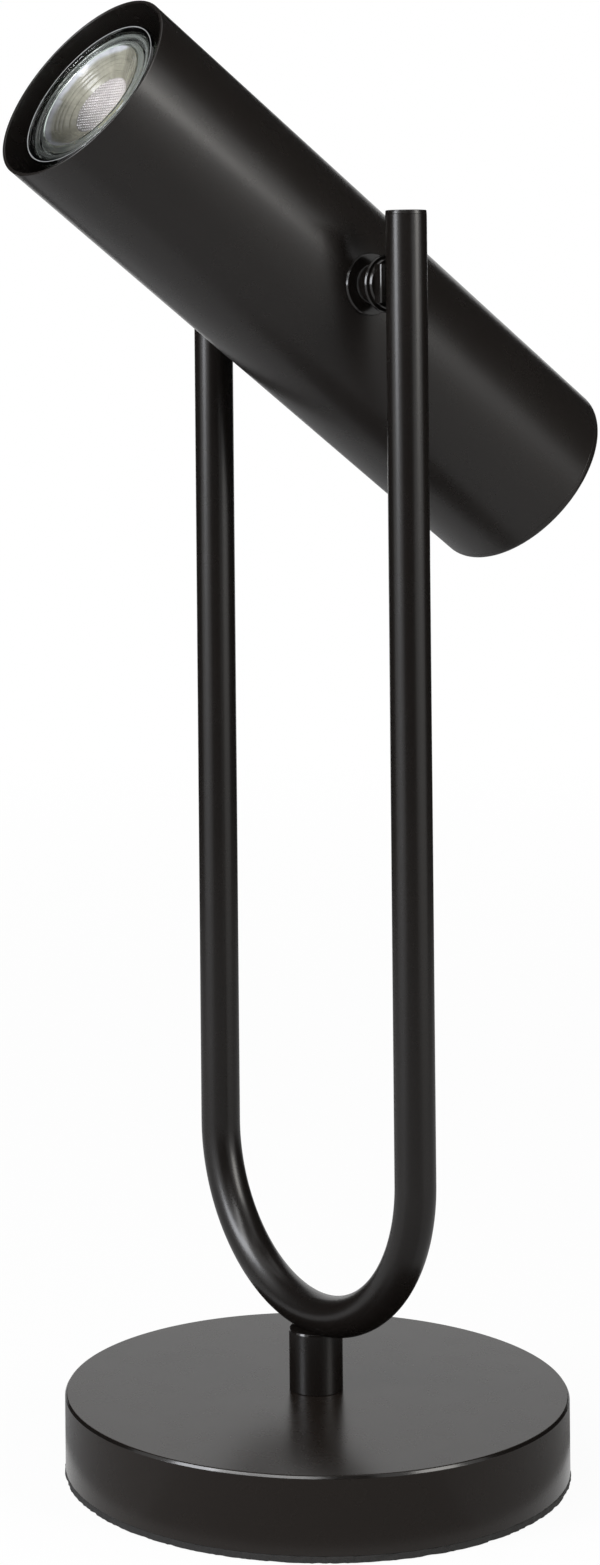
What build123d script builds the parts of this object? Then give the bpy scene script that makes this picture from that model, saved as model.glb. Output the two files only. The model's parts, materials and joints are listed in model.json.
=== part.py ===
from build123d import *
import math
import os

# Desk lamp: a round weighted base, a frame bent from one tube and a spot head that tilts between its legs.
# Millimetres and degrees. The origin is the centre of the base's underside and +Z is up.
# X runs from leg to leg, and the head shines forward, towards -Y.

# Base
BASE_DIAMETER = 150.0
BASE_HEIGHT = 24.0
BASE_EDGE_RADIUS = 1.0
COVER_WALL = 1.2
PAD_THICKNESS = 2.0
PAD_OVERHANG = 0.3
PLATE_THICKNESS = 1.5
WEIGHT_CLEARANCE = 0.4

# Neck and the hollow rod that clamps it to the base
NECK_DIAMETER = 16.0
NECK_GAP = 16.5
NECK_SADDLE_DEPTH = 1.5
ROD_DIAMETER = 10.0
ROD_BORE = 7.0
ROD_IN_NECK = 10.0
ROD_SHOWING = 0.5
ROD_NUT_ACROSS = 17.0
ROD_NUT_HEIGHT = 4.0
LOCK_WASHER_DIAMETER = 17.0
LOCK_WASHER_THICKNESS = 0.8
LOCK_WASHER_TEETH = 12
LOCK_TOOTH_GAP = 1.8
LOCK_TOOTH_DEPTH = 1.6
ROD_WASHER_DIAMETER = 21.0
ROD_WASHER_THICKNESS = 1.5
NUT_RECESS_DIAMETER = 26.0

# Wiring space in the weight
POCKET_FRONT = 15.0
POCKET_LENGTH = 31.0
POCKET_WIDTH = 44.0
POCKET_OFFSET = 7.0
BLOCK_GAP = 0.4
CHANNEL_WIDTH = 14.0
CHANNEL_HEIGHT = 13.0
LEAD_PASSAGE_WIDTH = 8.0
LEAD_PASSAGE_HEIGHT = 7.0

# Cable inlet
GROMMET_BORE = 6.4
GROMMET_NECK = 8.9
GROMMET_FLANGE = 12.0
GROMMET_LIP = 11.0
GROMMET_RIM = 1.5
INLET_HEIGHT = 10.0

# Terminal block and earth
BLOCK_POLES = 3
BLOCK_PITCH = 8.0
BLOCK_LENGTH = 16.0
BLOCK_HEIGHT = 10.0
INSERT_DIAMETER = 4.8
INSERT_BORE = 3.2
CLAMP_SCREW_DIAMETER = 2.6
CLAMP_SCREW_SPACING = 8.0
BLOCK_SCREW_DIAMETER = 2.5
BLOCK_SCREW_HEAD = 4.4
BLOCK_SCREW_HEAD_HEIGHT = 1.2
EARTH_POST_X = 21.0
EARTH_POST_Y = 26.0
EARTH_TAG_DIAMETER = 9.0
EARTH_TAG_THICKNESS = 0.8
EARTH_TAG_TONGUE = 9.0
EARTH_BARREL_DIAMETER = 3.6
EARTH_BARREL_LENGTH = 5.0
EARTH_SCREW_DIAMETER = 4.0
EARTH_SCREW_HEAD = 7.0
EARTH_SCREW_HEAD_HEIGHT = 2.4
EARTH_SCREW_GRIP = 6.0

# Base plate screws
PLATE_SCREW_COUNT = 3
PLATE_SCREW_CIRCLE = 110.0
PLATE_SCREW_DIAMETER = 3.0
PLATE_SCREW_HEAD = 5.8
PLATE_SCREW_GRIP = 8.0

# Frame
FRAME_HEIGHT = 374.0
TUBE_DIAMETER = 12.0
TUBE_WALL = 1.0
CAP_THICKNESS = 1.2
CAP_EDGE_RADIUS = 0.4
CAP_SPIGOT = 6.0

# Head
HEAD_DIAMETER = 63.0
HEAD_WALL = 1.0
HEAD_FRONT_REACH = 98.0
HEAD_REAR_REACH = 102.0
HEAD_TILT = 35.5
MOUTH_EDGE_RADIUS = 0.35
REAR_CAP_THICKNESS = 2.5
REAR_CAP_EDGE_RADIUS = 1.5
REAR_CAP_SPIGOT = 8.0
REAR_CAP_WALL = 1.5

# Pivots, from the leg inwards
PIVOT_DROP = 21.0
PIVOT_GAP = 10.5
STUD_DIAMETER = 8.0
STUD_BORE = 5.0
STUD_SHOWING = 1.0
SADDLE_WIDTH = 12.6
SADDLE_HEIGHT = 11.2
SADDLE_WEB = 0.9
SADDLE_WRAP = 2.3
SMALL_WASHER_DIAMETER = 15.0
SMALL_WASHER_THICKNESS = 1.2
LARGE_WASHER_DIAMETER = 17.0
LARGE_WASHER_THICKNESS = 1.0
SPACER_DIAMETER = 11.0
FRICTION_WASHER_DIAMETER = 11.5
FRICTION_WASHER_THICKNESS = 0.5
FLANGE_DIAMETER = 18.4
FLANGE_PROUD = 0.6
SPRING_WASHER_DIAMETER = 14.0
SPRING_WASHER_THICKNESS = 1.0
PIVOT_NUT_ACROSS = 13.0
PIVOT_NUT_HEIGHT = 4.0

# Lamp holder and its bracket
BRACKET_WIDTH = 18.0
BRACKET_THICKNESS = 1.5
BRACKET_HOLE = 13.0
HOLDER_DIAMETER = 26.0
HOLDER_HEIGHT = 18.0
HOLDER_SCREW_SPACING = 18.0
HOLDER_SCREW_DIAMETER = 3.0
HOLDER_SCREW_HEAD = 5.4
HOLDER_SCREW_HEAD_HEIGHT = 2.4
HOLDER_SCREW_SINK = 6.0
HOLDER_SCREW_PAST = 1.0
CONTACT_THICKNESS = 0.8
CORE_HOLE = 1.8

# Reflector lamp
BULB_RECESS = 3.1
BULB_DIAMETER = 50.0
BULB_FACE_DIAMETER = 49.4
BULB_RIM_DEPTH = 6.0
BULB_LENGTH = 49.5
BULB_WAIST_DIAMETER = 25.0
BULB_SHELL_DEPTH = 40.0
BULB_WALL = 1.6
BULB_TWIST = 20.0
PIN_SPACING = 10.0
PIN_DIAMETER = 3.0
PIN_LENGTH = 7.0
PIN_FOOT_DIAMETER = 5.0
PIN_FOOT_HEIGHT = 2.4
PIN_ROOT = 3.0
BULB_BASE_DIAMETER = 18.5
BULB_COLLAR_HEIGHT = 2.0
LENS_SINK = 0.8
LENS_RIM = 2.0
LENS_BODY_DIAMETER = 38.0
LENS_TIP_DIAMETER = 12.0
LENS_DEPTH = 15.5
LENS_BOWL_DIAMETER = 36.0
LENS_EYE_DIAMETER = 20.0
LENS_EYE_DEPTH = 4.5
CHIP_DIAMETER = 10.0
CHIP_THICKNESS = 1.0
BOARD_DIAMETER = 30.0
BOARD_THICKNESS = 1.6
CORE_PLATE_THICKNESS = 2.0
CORE_TAIL_DIAMETER = 20.0

# Leads inside the lamp
LEAD_DIAMETER = 3.0
LEAD_BEND = 4.5
LEAD_RISE = 3.6
LEAD_IN_BLOCK = 2.0
LEAD_MEET = 40.0
HEAD_LEAD_OFFSET = 8.0
LEAD_CORE_DIAMETER = 1.4
LEAD_CORE_PITCH = 1.6
CORE_RUN = 2.5
CORE_SPREAD = 6.0
CORE_STRAIGHT = 2.5
CORE_BEND = 2.5

# Fits
THREAD_CLEARANCE = 0.02
SLIP_CLEARANCE = 0.05
HOLE_CLEARANCE = 0.2
BRAZE_GAP = 0.03
RUN_GAP = 0.05
PIN_PLAY = 0.3
SEAT_GAP = 0.3

# Heights in the base, from the desk up
plate_top = PAD_THICKNESS + PLATE_THICKNESS
cover_ceiling = BASE_HEIGHT - COVER_WALL
lead_height = plate_top + LEAD_RISE
rod_bottom = lead_height + LEAD_BEND - LEAD_DIAMETER / 2
nut_bottom = rod_bottom + ROD_SHOWING
lock_bottom = nut_bottom + ROD_NUT_HEIGHT
washer_bottom = lock_bottom + LOCK_WASHER_THICKNESS
recess_ceiling = washer_bottom + ROD_WASHER_THICKNESS
block_bottom = plate_top + BLOCK_GAP
pocket_ceiling = block_bottom + BLOCK_HEIGHT
block_front = POCKET_FRONT + BLOCK_GAP
block_width = BLOCK_POLES * BLOCK_PITCH
cover_radius = BASE_DIAMETER / 2
cover_inside = cover_radius - COVER_WALL
weight_radius = cover_inside - WEIGHT_CLEARANCE

# The frame's centre line
tube_radius = TUBE_DIAMETER / 2
tube_bore = tube_radius - TUBE_WALL
head_radius = HEAD_DIAMETER / 2
head_bore = head_radius - HEAD_WALL
leg_x = head_radius + PIVOT_GAP + tube_radius
bend_radius = leg_x
tube_underside = BASE_HEIGHT + NECK_GAP
bend_centre = tube_underside + tube_radius + bend_radius
tube_top = FRAME_HEIGHT - CAP_THICKNESS
pivot_height = FRAME_HEIGHT - PIVOT_DROP
neck_top = tube_underside + NECK_SADDLE_DEPTH
lead_turn_height = bend_centre - math.sqrt((bend_radius + LEAD_BEND) ** 2 - LEAD_BEND**2)

# Faces along the pivot's axis, as distances from the lamp's middle
leg_face = leg_x - tube_radius
saddle_face = leg_face - SADDLE_WEB
small_washer_face = saddle_face - SMALL_WASHER_THICKNESS
large_washer_face = small_washer_face - LARGE_WASHER_THICKNESS
flange_face = head_radius + FLANGE_PROUD
friction_face = flange_face + RUN_GAP
spacer_face = friction_face + FRICTION_WASHER_THICKNESS
ear_outside = math.sqrt(head_bore**2 - (BRACKET_WIDTH / 2) ** 2) - RUN_GAP
ear_inside = ear_outside - BRACKET_THICKNESS
spring_face = ear_inside - RUN_GAP
nut_face = spring_face - SPRING_WASHER_THICKNESS
stud_inner_end = nut_face - PIVOT_NUT_HEIGHT - STUD_SHOWING
stud_outer_end = leg_x - tube_bore
stud_radius = STUD_DIAMETER / 2

# Stations along the head's axis, from the pivot towards the mouth
bulb_face = HEAD_FRONT_REACH - BULB_RECESS
bulb_seat = bulb_face - BULB_LENGTH
holder_front = bulb_seat - SEAT_GAP
holder_rear = holder_front - HOLDER_HEIGHT
bracket_back = holder_rear - BRACKET_THICKNESS
foot_bottom = bulb_seat - PIN_LENGTH
foot_top = foot_bottom + PIN_FOOT_HEIGHT
chamber_ceiling = foot_top + PIN_PLAY
contact_top = foot_bottom - PIN_PLAY
chamber_floor = contact_top - CONTACT_THICKNESS
head_lead_top = bracket_back - CORE_STRAIGHT - CORE_SPREAD - CORE_RUN
lens_face = bulb_face - LENS_SINK
lens_tip = lens_face - LENS_DEPTH
board_face = lens_tip - CHIP_THICKNESS
board_back = board_face - BOARD_THICKNESS
shell_end = bulb_face - BULB_SHELL_DEPTH
pin_radius = PIN_SPACING / 2

stand_place = Pos(0, 0, pivot_height)
head_place = Location((0, 0, pivot_height), (90.0 - HEAD_TILT, 0, 0))

os.makedirs("parts", exist_ok=True)


def save(name, shape):
    """Writes one node's solids."""
    shape.label = name
    export_step(shape, os.path.join("parts", name + ".step"))


def rod(radius, low, high):
    """Cylinder about Z between two heights."""
    return Pos(0, 0, low) * Cylinder(radius, high - low, align=(Align.CENTER, Align.CENTER, Align.MIN))


def ring(radius, bore, low, high):
    """Hollow cylinder about Z between two heights."""
    return rod(radius, low, high) - rod(bore, low, high)


def block(width, length, low, high, x=0.0, y=0.0):
    """Upright box between two heights, centred at x and y."""
    box = Box(width, length, high - low, align=(Align.CENTER, Align.CENTER, Align.MIN))
    return Pos(x, y, low) * box


def along_x(shape):
    """Turns a shape made about Z so that it lies about X."""
    return Rot(0, 90, 0) * shape


def along_y(shape):
    """Turns a shape made about Z so that it lies about Y."""
    return Rot(-90, 0, 0) * shape


def hex_nut(across, bore, low, high):
    """Hexagon nut about Z with rounded-off corners."""
    prism = Pos(0, 0, low) * extrude(RegularPolygon(across / 2, 6, major_radius=False), high - low)
    corner = across / math.sqrt(3)
    trim = chamfer(rod(corner, low, high).edges(), (corner - across / 2) * 0.6)
    return (prism & trim) - rod(bore, low, high)


def screw(diameter, head, head_height, length):
    """Pan-head screw about Z: the head stands on the origin's plane and the shank hangs below it."""
    top = fillet(rod(head / 2, 0, head_height).edges().group_by(Axis.Z)[-1], head_height * 0.45)
    slot = diameter * 0.22
    cross = block(head * 0.55, slot, head_height * 0.4, head_height)
    cross += block(slot, head * 0.55, head_height * 0.4, head_height)
    return top - cross + rod(diameter / 2, -length, 0)


def arc_slot(start, sweep_angle, diameter, low, high):
    """Bar along an arc of the pins' circle, with round ends, between two heights."""
    line = CenterArc((0, 0), pin_radius, start, sweep_angle)
    return Pos(0, 0, low) * extrude(SlotArc(line, diameter), high - low)


def plate_screw_places():
    """Centres of the base plate's screws, clear of the cable channel."""
    turn = 360.0 / PLATE_SCREW_COUNT
    for i in range(PLATE_SCREW_COUNT):
        angle = math.radians(turn * (i + 0.5) - 30)
        yield PLATE_SCREW_CIRCLE / 2 * math.cos(angle), PLATE_SCREW_CIRCLE / 2 * math.sin(angle)


def insert_places():
    """Middles of the terminal block's poles along X."""
    for i in range(BLOCK_POLES):
        yield (i - (BLOCK_POLES - 1) / 2) * BLOCK_PITCH


# Base


def base_pad():
    return rod(cover_radius + PAD_OVERHANG, 0, PAD_THICKNESS)


def base_plate():
    plate = rod(cover_inside - SLIP_CLEARANCE, PAD_THICKNESS, plate_top)
    for x, y in plate_screw_places():
        plate -= Pos(x, y) * countersink(HOLE_CLEARANCE / 2)
    return plate


def countersink(clearance):
    """Conical screw head in the base plate, or its seat when given a clearance."""
    cone = Cone(
        PLATE_SCREW_HEAD / 2 + clearance,
        PLATE_SCREW_DIAMETER / 2 + clearance,
        PLATE_THICKNESS,
        align=(Align.CENTER, Align.CENTER, Align.MIN),
    )
    return Pos(0, 0, PAD_THICKNESS) * cone


def base_plate_screws():
    """Countersunk screws, slotted from below."""
    slot = block(PLATE_SCREW_HEAD, 0.8, PAD_THICKNESS, PAD_THICKNESS + 0.6)
    one = countersink(0) + rod(PLATE_SCREW_DIAMETER / 2, plate_top, plate_top + PLATE_SCREW_GRIP) - slot
    return Compound([solid for x, y in plate_screw_places() for solid in (Pos(x, y) * one).solids()])


def base_weight():
    """Cast disc with the nut's recess, the wiring pocket, a passage between them and the cable's channel."""
    body = fillet(rod(weight_radius, plate_top, cover_ceiling).edges(), 0.8)
    body -= rod(ROD_DIAMETER / 2 + HOLE_CLEARANCE, plate_top, cover_ceiling)
    body -= rod(NUT_RECESS_DIAMETER / 2, plate_top, recess_ceiling)
    pocket_middle = POCKET_FRONT + POCKET_LENGTH / 2
    body -= block(POCKET_WIDTH, POCKET_LENGTH, plate_top, pocket_ceiling, POCKET_OFFSET, pocket_middle)
    passage_top = plate_top + LEAD_PASSAGE_HEIGHT
    body -= block(LEAD_PASSAGE_WIDTH, POCKET_FRONT * 2, plate_top, passage_top, 0, POCKET_FRONT / 2 + 1)
    channel_middle = (pocket_middle + cover_radius) / 2
    channel_length = cover_radius - pocket_middle
    body -= block(CHANNEL_WIDTH, channel_length, plate_top, plate_top + CHANNEL_HEIGHT, 0, channel_middle)
    for x, y in plate_screw_places():
        hole = rod(PLATE_SCREW_DIAMETER / 2 + THREAD_CLEARANCE, plate_top, plate_top + PLATE_SCREW_GRIP + 1)
        body -= Pos(x, y) * hole
    earth_hole = rod(EARTH_SCREW_DIAMETER / 2 + THREAD_CLEARANCE, pocket_ceiling, pocket_ceiling + EARTH_SCREW_GRIP)
    body -= Pos(EARTH_POST_X, EARTH_POST_Y) * earth_hole
    block_hole = rod(BLOCK_SCREW_DIAMETER / 2 + THREAD_CLEARANCE, pocket_ceiling, pocket_ceiling + EARTH_SCREW_GRIP)
    body -= Pos(BLOCK_PITCH / 2, block_front + BLOCK_LENGTH / 2) * block_hole
    return body


def base_cover():
    shell = rod(cover_radius, PAD_THICKNESS, BASE_HEIGHT)
    shell = fillet(shell.edges().group_by(Axis.Z)[-1], BASE_EDGE_RADIUS)
    shell -= rod(cover_inside, PAD_THICKNESS, cover_ceiling)
    shell -= rod(ROD_DIAMETER / 2 + HOLE_CLEARANCE, cover_ceiling, BASE_HEIGHT)
    inlet = along_y(rod(GROMMET_NECK / 2 + SLIP_CLEARANCE, cover_radius / 2, cover_radius + 1))
    return shell - Pos(0, 0, INLET_HEIGHT) * inlet


def cable_grommet():
    """Bush with a lip inside and a flange outside the cover's round wall."""
    lip_face = math.sqrt(cover_inside**2 - (GROMMET_LIP / 2) ** 2) - SLIP_CLEARANCE
    flange_start = cover_radius + SLIP_CLEARANCE
    bush = rod(GROMMET_LIP / 2, lip_face - GROMMET_RIM, lip_face)
    bush += rod(GROMMET_NECK / 2, lip_face, flange_start)
    flange = rod(GROMMET_FLANGE / 2, flange_start, flange_start + GROMMET_RIM)
    bush += fillet(flange.edges().group_by(Axis.Z)[-1], GROMMET_RIM * 0.4)
    bush -= rod(GROMMET_BORE / 2, 0, cover_radius * 2)
    return Pos(0, 0, INLET_HEIGHT) * along_y(bush)


def terminal_block():
    body = block(block_width, BLOCK_LENGTH, block_bottom, pocket_ceiling, 0, block_front + BLOCK_LENGTH / 2)
    body = fillet(body.edges().filter_by(Axis.Y), 0.6)
    for x in insert_places():
        hole = along_y(rod(INSERT_DIAMETER / 2 + SLIP_CLEARANCE, block_front - 1, block_front + BLOCK_LENGTH + 1))
        body -= Pos(x, 0, lead_height) * hole
        for y in clamp_screw_rows():
            body -= Pos(x, y) * rod(CLAMP_SCREW_DIAMETER / 2 + HOLE_CLEARANCE, block_bottom, lead_height)
    screw_x = BLOCK_PITCH / 2
    screw_y = block_front + BLOCK_LENGTH / 2
    body -= Pos(screw_x, screw_y) * rod(BLOCK_SCREW_DIAMETER / 2 + SLIP_CLEARANCE, block_bottom, pocket_ceiling)
    head_top = block_bottom + BLOCK_GAP + BLOCK_SCREW_HEAD_HEIGHT
    body -= Pos(screw_x, screw_y) * rod(BLOCK_SCREW_HEAD / 2 + SLIP_CLEARANCE, block_bottom, head_top)
    return body


def clamp_screw_rows():
    """Where along Y the block's two rows of clamping screws stand."""
    middle = block_front + BLOCK_LENGTH / 2
    return middle - CLAMP_SCREW_SPACING / 2, middle + CLAMP_SCREW_SPACING / 2


def terminal_inserts():
    """Brass sleeves, each with two threaded holes from below."""
    sleeve = along_y(ring(INSERT_DIAMETER / 2, INSERT_BORE / 2, block_front, block_front + BLOCK_LENGTH))
    sleeve = Pos(0, 0, lead_height) * sleeve
    for y in clamp_screw_rows():
        sleeve -= Pos(0, y) * rod(CLAMP_SCREW_DIAMETER / 2 + THREAD_CLEARANCE, block_bottom, lead_height)
    return Compound([solid for x in insert_places() for solid in (Pos(x, 0) * sleeve).solids()])


def terminal_screws():
    """Slotted clamping screws, ending at the sleeves' bores."""
    top = lead_height - INSERT_BORE / 2
    one = rod(CLAMP_SCREW_DIAMETER / 2, block_bottom + BLOCK_GAP, top)
    one -= block(CLAMP_SCREW_DIAMETER, 0.5, block_bottom + BLOCK_GAP, block_bottom + BLOCK_GAP * 2)
    places = [(x, y) for x in insert_places() for y in clamp_screw_rows()]
    return Compound([solid for x, y in places for solid in (Pos(x, y) * one).solids()])


def terminal_block_screw():
    """Screw that stands upside down in the block's middle."""
    grip = BLOCK_HEIGHT - BLOCK_GAP - BLOCK_SCREW_HEAD_HEIGHT + EARTH_SCREW_GRIP / 2
    one = screw(BLOCK_SCREW_DIAMETER, BLOCK_SCREW_HEAD, BLOCK_SCREW_HEAD_HEIGHT, grip)
    seat = block_bottom + BLOCK_GAP + BLOCK_SCREW_HEAD_HEIGHT
    return Pos(BLOCK_PITCH / 2, block_front + BLOCK_LENGTH / 2, seat) * (Rot(180, 0, 0) * one)


def earth_tag():
    """Ring tag under the pocket's ceiling, with its crimp barrel pointing to the back."""
    low = pocket_ceiling - EARTH_TAG_THICKNESS
    tag = rod(EARTH_TAG_DIAMETER / 2, low, pocket_ceiling)
    tag += block(EARTH_TAG_DIAMETER * 0.5, EARTH_TAG_TONGUE, low, pocket_ceiling, 0, EARTH_TAG_TONGUE / 2)
    barrel_end = EARTH_TAG_TONGUE + EARTH_BARREL_LENGTH
    barrel = ring(EARTH_BARREL_DIAMETER / 2, LEAD_CORE_DIAMETER / 2 + HOLE_CLEARANCE, EARTH_TAG_TONGUE, barrel_end)
    tag += Pos(0, 0, pocket_ceiling - EARTH_BARREL_DIAMETER / 2 - RUN_GAP) * along_y(barrel)
    tag -= rod(EARTH_SCREW_DIAMETER / 2 + HOLE_CLEARANCE, low, pocket_ceiling)
    return Pos(EARTH_POST_X, EARTH_POST_Y) * tag


def earth_screw():
    one = screw(EARTH_SCREW_DIAMETER, EARTH_SCREW_HEAD, EARTH_SCREW_HEAD_HEIGHT, EARTH_SCREW_GRIP)
    seat = pocket_ceiling - EARTH_TAG_THICKNESS
    return Pos(EARTH_POST_X, EARTH_POST_Y, seat) * (Rot(180, 0, 0) * one)


# Neck


def threaded_rod():
    return chamfer(ring(ROD_DIAMETER / 2, ROD_BORE / 2, rod_bottom, BASE_HEIGHT + ROD_IN_NECK).edges(), 0.3)


def rod_nut():
    return hex_nut(ROD_NUT_ACROSS, ROD_DIAMETER / 2 + THREAD_CLEARANCE, nut_bottom, lock_bottom)


def lock_washer():
    """Flat ring with teeth round its outside."""
    washer = ring(LOCK_WASHER_DIAMETER / 2, ROD_DIAMETER / 2 + HOLE_CLEARANCE, lock_bottom, washer_bottom)
    notch = block(LOCK_TOOTH_DEPTH * 2, LOCK_TOOTH_GAP, lock_bottom, washer_bottom, LOCK_WASHER_DIAMETER / 2)
    for i in range(LOCK_WASHER_TEETH):
        washer -= Rot(0, 0, 360.0 / LOCK_WASHER_TEETH * i) * notch
    return washer


def rod_washer():
    return ring(ROD_WASHER_DIAMETER / 2, ROD_DIAMETER / 2 + HOLE_CLEARANCE, washer_bottom, recess_ceiling)


def neck_collar():
    """Turned neck, threaded from below, with a saddle for the bent tube in its top."""
    body = rod(NECK_DIAMETER / 2, BASE_HEIGHT, neck_top)
    body = fillet(body.edges().group_by(Axis.Z)[0], 0.3)
    body -= rod(ROD_DIAMETER / 2 + THREAD_CLEARANCE, BASE_HEIGHT, BASE_HEIGHT + ROD_IN_NECK + ROD_SHOWING)
    body -= rod(ROD_BORE / 2, BASE_HEIGHT, neck_top)
    return body - tube_run(tube_radius + BRAZE_GAP)


# Frame


def tube_run(radius):
    """Solid bar of one radius along the frame's centre line: two legs and a half-round bend."""
    section = Pos(leg_x, 0, bend_centre) * Circle(radius)
    run = revolve(section, Axis((0, 0, bend_centre), (0, 1, 0)), 180)
    for side in (-1, 1):
        run += Pos(side * leg_x, 0) * rod(radius, bend_centre, tube_top)
    return run


def u_frame():
    """Bent tube with a hole for the neck's bore and one for each pivot stud."""
    frame = tube_run(tube_radius) - tube_run(tube_bore)
    frame -= rod(ROD_BORE / 2, BASE_HEIGHT, tube_underside + tube_radius)
    stud_hole = along_x(rod(stud_radius + BRAZE_GAP, -leg_x, leg_x))
    return frame - stand_place * stud_hole


def leg_cap(side):
    """Plug in a leg's top, flush with the tube."""
    cap = rod(tube_radius, tube_top, FRAME_HEIGHT)
    cap = fillet(cap.edges().group_by(Axis.Z)[-1], CAP_EDGE_RADIUS)
    cap += rod(tube_bore - SLIP_CLEARANCE, tube_top - CAP_SPIGOT, tube_top)
    return Pos(side * leg_x, 0) * cap


def arc_xz(centre_x, centre_z, radius, start, end):
    """Arc in the frame's plane between two angles from +X towards +Z."""
    places = []
    for angle in (start, (start + end) / 2, end):
        turn = math.radians(angle)
        places.append((centre_x + radius * math.cos(turn), 0, centre_z + radius * math.sin(turn)))
    return ThreePointArc(*places)


def frame_lead():
    """Lead from the terminal block up the rod, round the bend, up one leg and into its stud."""
    join = math.degrees(math.atan2(bend_centre - lead_turn_height, LEAD_BEND))
    start = (0, block_front + LEAD_IN_BLOCK, lead_height)
    turn = math.sqrt(0.5) * LEAD_BEND
    route = [Line(start, (0, LEAD_BEND, lead_height))]
    bend_middle = (0, LEAD_BEND - turn, lead_height + LEAD_BEND - turn)
    route.append(ThreePointArc((0, LEAD_BEND, lead_height), bend_middle, (0, 0, lead_height + LEAD_BEND)))
    route.append(Line((0, 0, lead_height + LEAD_BEND), (0, 0, lead_turn_height)))
    route.append(arc_xz(-LEAD_BEND, lead_turn_height, LEAD_BEND, 0, join))
    route.append(arc_xz(0, bend_centre, bend_radius, 180 + join, 180))
    top = pivot_height - LEAD_BEND
    route.append(Line((-leg_x, 0, bend_centre), (-leg_x, 0, top)))
    route.append(arc_xz(-leg_x + LEAD_BEND, top, LEAD_BEND, 180, 90))
    route.append(Line((-leg_x + LEAD_BEND, 0, pivot_height), (-LEAD_MEET, 0, pivot_height)))
    section = Plane(origin=start, z_dir=(0, -1, 0)) * Circle(LEAD_DIAMETER / 2)
    return sweep(section, Wire(route))


# Pivots. Each set is made on the +X side, about X, with its origin in the middle of the head.


def pivot_ring(diameter, low, high):
    """Washer on the stud between two faces."""
    return along_x(ring(diameter / 2, stud_radius + SLIP_CLEARANCE, low, high))


def pivot_saddle():
    """Block whose outer face is hollowed to the leg."""
    depth = leg_face + SADDLE_WRAP - saddle_face
    body = Pos(saddle_face + depth / 2, 0) * Box(depth, SADDLE_WIDTH, SADDLE_HEIGHT)
    body -= Pos(leg_x, 0) * rod(tube_radius + BRAZE_GAP, -SADDLE_HEIGHT, SADDLE_HEIGHT)
    return body - along_x(rod(stud_radius + THREAD_CLEARANCE, 0, leg_x))


def pivot_flange():
    """Thin disc whose back is hollowed to the head's tube, in the head's frame."""
    disc = along_x(ring(FLANGE_DIAMETER / 2, stud_radius + SLIP_CLEARANCE, head_radius / 2, flange_face))
    disc -= rod(head_radius + BRAZE_GAP, -FLANGE_DIAMETER, FLANGE_DIAMETER)
    return disc


def pivot_stud():
    stud = ring(stud_radius, STUD_BORE / 2, stud_inner_end, stud_outer_end)
    return along_x(chamfer(stud.edges(), 0.3))


def pivot_nut():
    return along_x(hex_nut(PIVOT_NUT_ACROSS, stud_radius + THREAD_CLEARANCE, nut_face - PIVOT_NUT_HEIGHT, nut_face))


PIVOT_PIECES = {
    "pivot_saddle": (stand_place, pivot_saddle),
    "pivot_small_washer": (stand_place, lambda: pivot_ring(SMALL_WASHER_DIAMETER, small_washer_face, saddle_face)),
    "pivot_large_washer": (
        stand_place,
        lambda: pivot_ring(LARGE_WASHER_DIAMETER, large_washer_face, small_washer_face),
    ),
    "pivot_spacer": (stand_place, lambda: pivot_ring(SPACER_DIAMETER, spacer_face, large_washer_face)),
    "friction_washer": (stand_place, lambda: pivot_ring(FRICTION_WASHER_DIAMETER, friction_face, spacer_face)),
    "pivot_stud": (stand_place, pivot_stud),
    "spring_washer": (stand_place, lambda: pivot_ring(SPRING_WASHER_DIAMETER, nut_face, spring_face)),
    "pivot_nut": (stand_place, pivot_nut),
    "pivot_flange": (head_place, pivot_flange),
}


# Head, made about Z with its origin at the pivot and its mouth up


def head_tube():
    """Plain tube with a hole through both walls for the studs."""
    body = rod(head_radius, -HEAD_REAR_REACH + REAR_CAP_THICKNESS, HEAD_FRONT_REACH)
    body -= rod(head_bore, -HEAD_REAR_REACH, HEAD_FRONT_REACH)
    body = fillet(body.edges().group_by(Axis.Z)[-1], MOUTH_EDGE_RADIUS)
    return body - along_x(rod(stud_radius + SLIP_CLEARANCE, -HEAD_DIAMETER, HEAD_DIAMETER))


def head_rear_cap():
    """Shallow cup that closes the tube's back end."""
    seam = -HEAD_REAR_REACH + REAR_CAP_THICKNESS
    cap = rod(head_radius, -HEAD_REAR_REACH, seam)
    cap = fillet(cap.edges().group_by(Axis.Z)[0], REAR_CAP_EDGE_RADIUS)
    spigot = head_bore - SLIP_CLEARANCE
    return cap + ring(spigot, spigot - REAR_CAP_WALL, seam, seam + REAR_CAP_SPIGOT)


def holder_bracket():
    """U-shaped strap: two ears on the studs and a bridge that carries the lamp holder."""
    half = BRACKET_WIDTH / 2
    strap = block(ear_outside * 2, BRACKET_WIDTH, 0, holder_rear)
    strap = fillet(strap.edges().group_by(Axis.Z)[-1].filter_by(Axis.Y), BRACKET_THICKNESS)
    strap += along_x(rod(half, -ear_outside, ear_outside))
    strap -= block(ear_inside * 2, BRACKET_WIDTH * 2, -BRACKET_WIDTH, bracket_back)
    strap -= along_x(rod(stud_radius + SLIP_CLEARANCE, -head_radius, head_radius))
    strap -= rod(BRACKET_HOLE / 2, 0, holder_rear)
    for side in (-1, 1):
        hole = rod(HOLDER_SCREW_DIAMETER / 2 + THREAD_CLEARANCE, 0, holder_rear)
        strap -= Pos(side * HOLDER_SCREW_SPACING / 2, 0) * hole
    return strap


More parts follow.
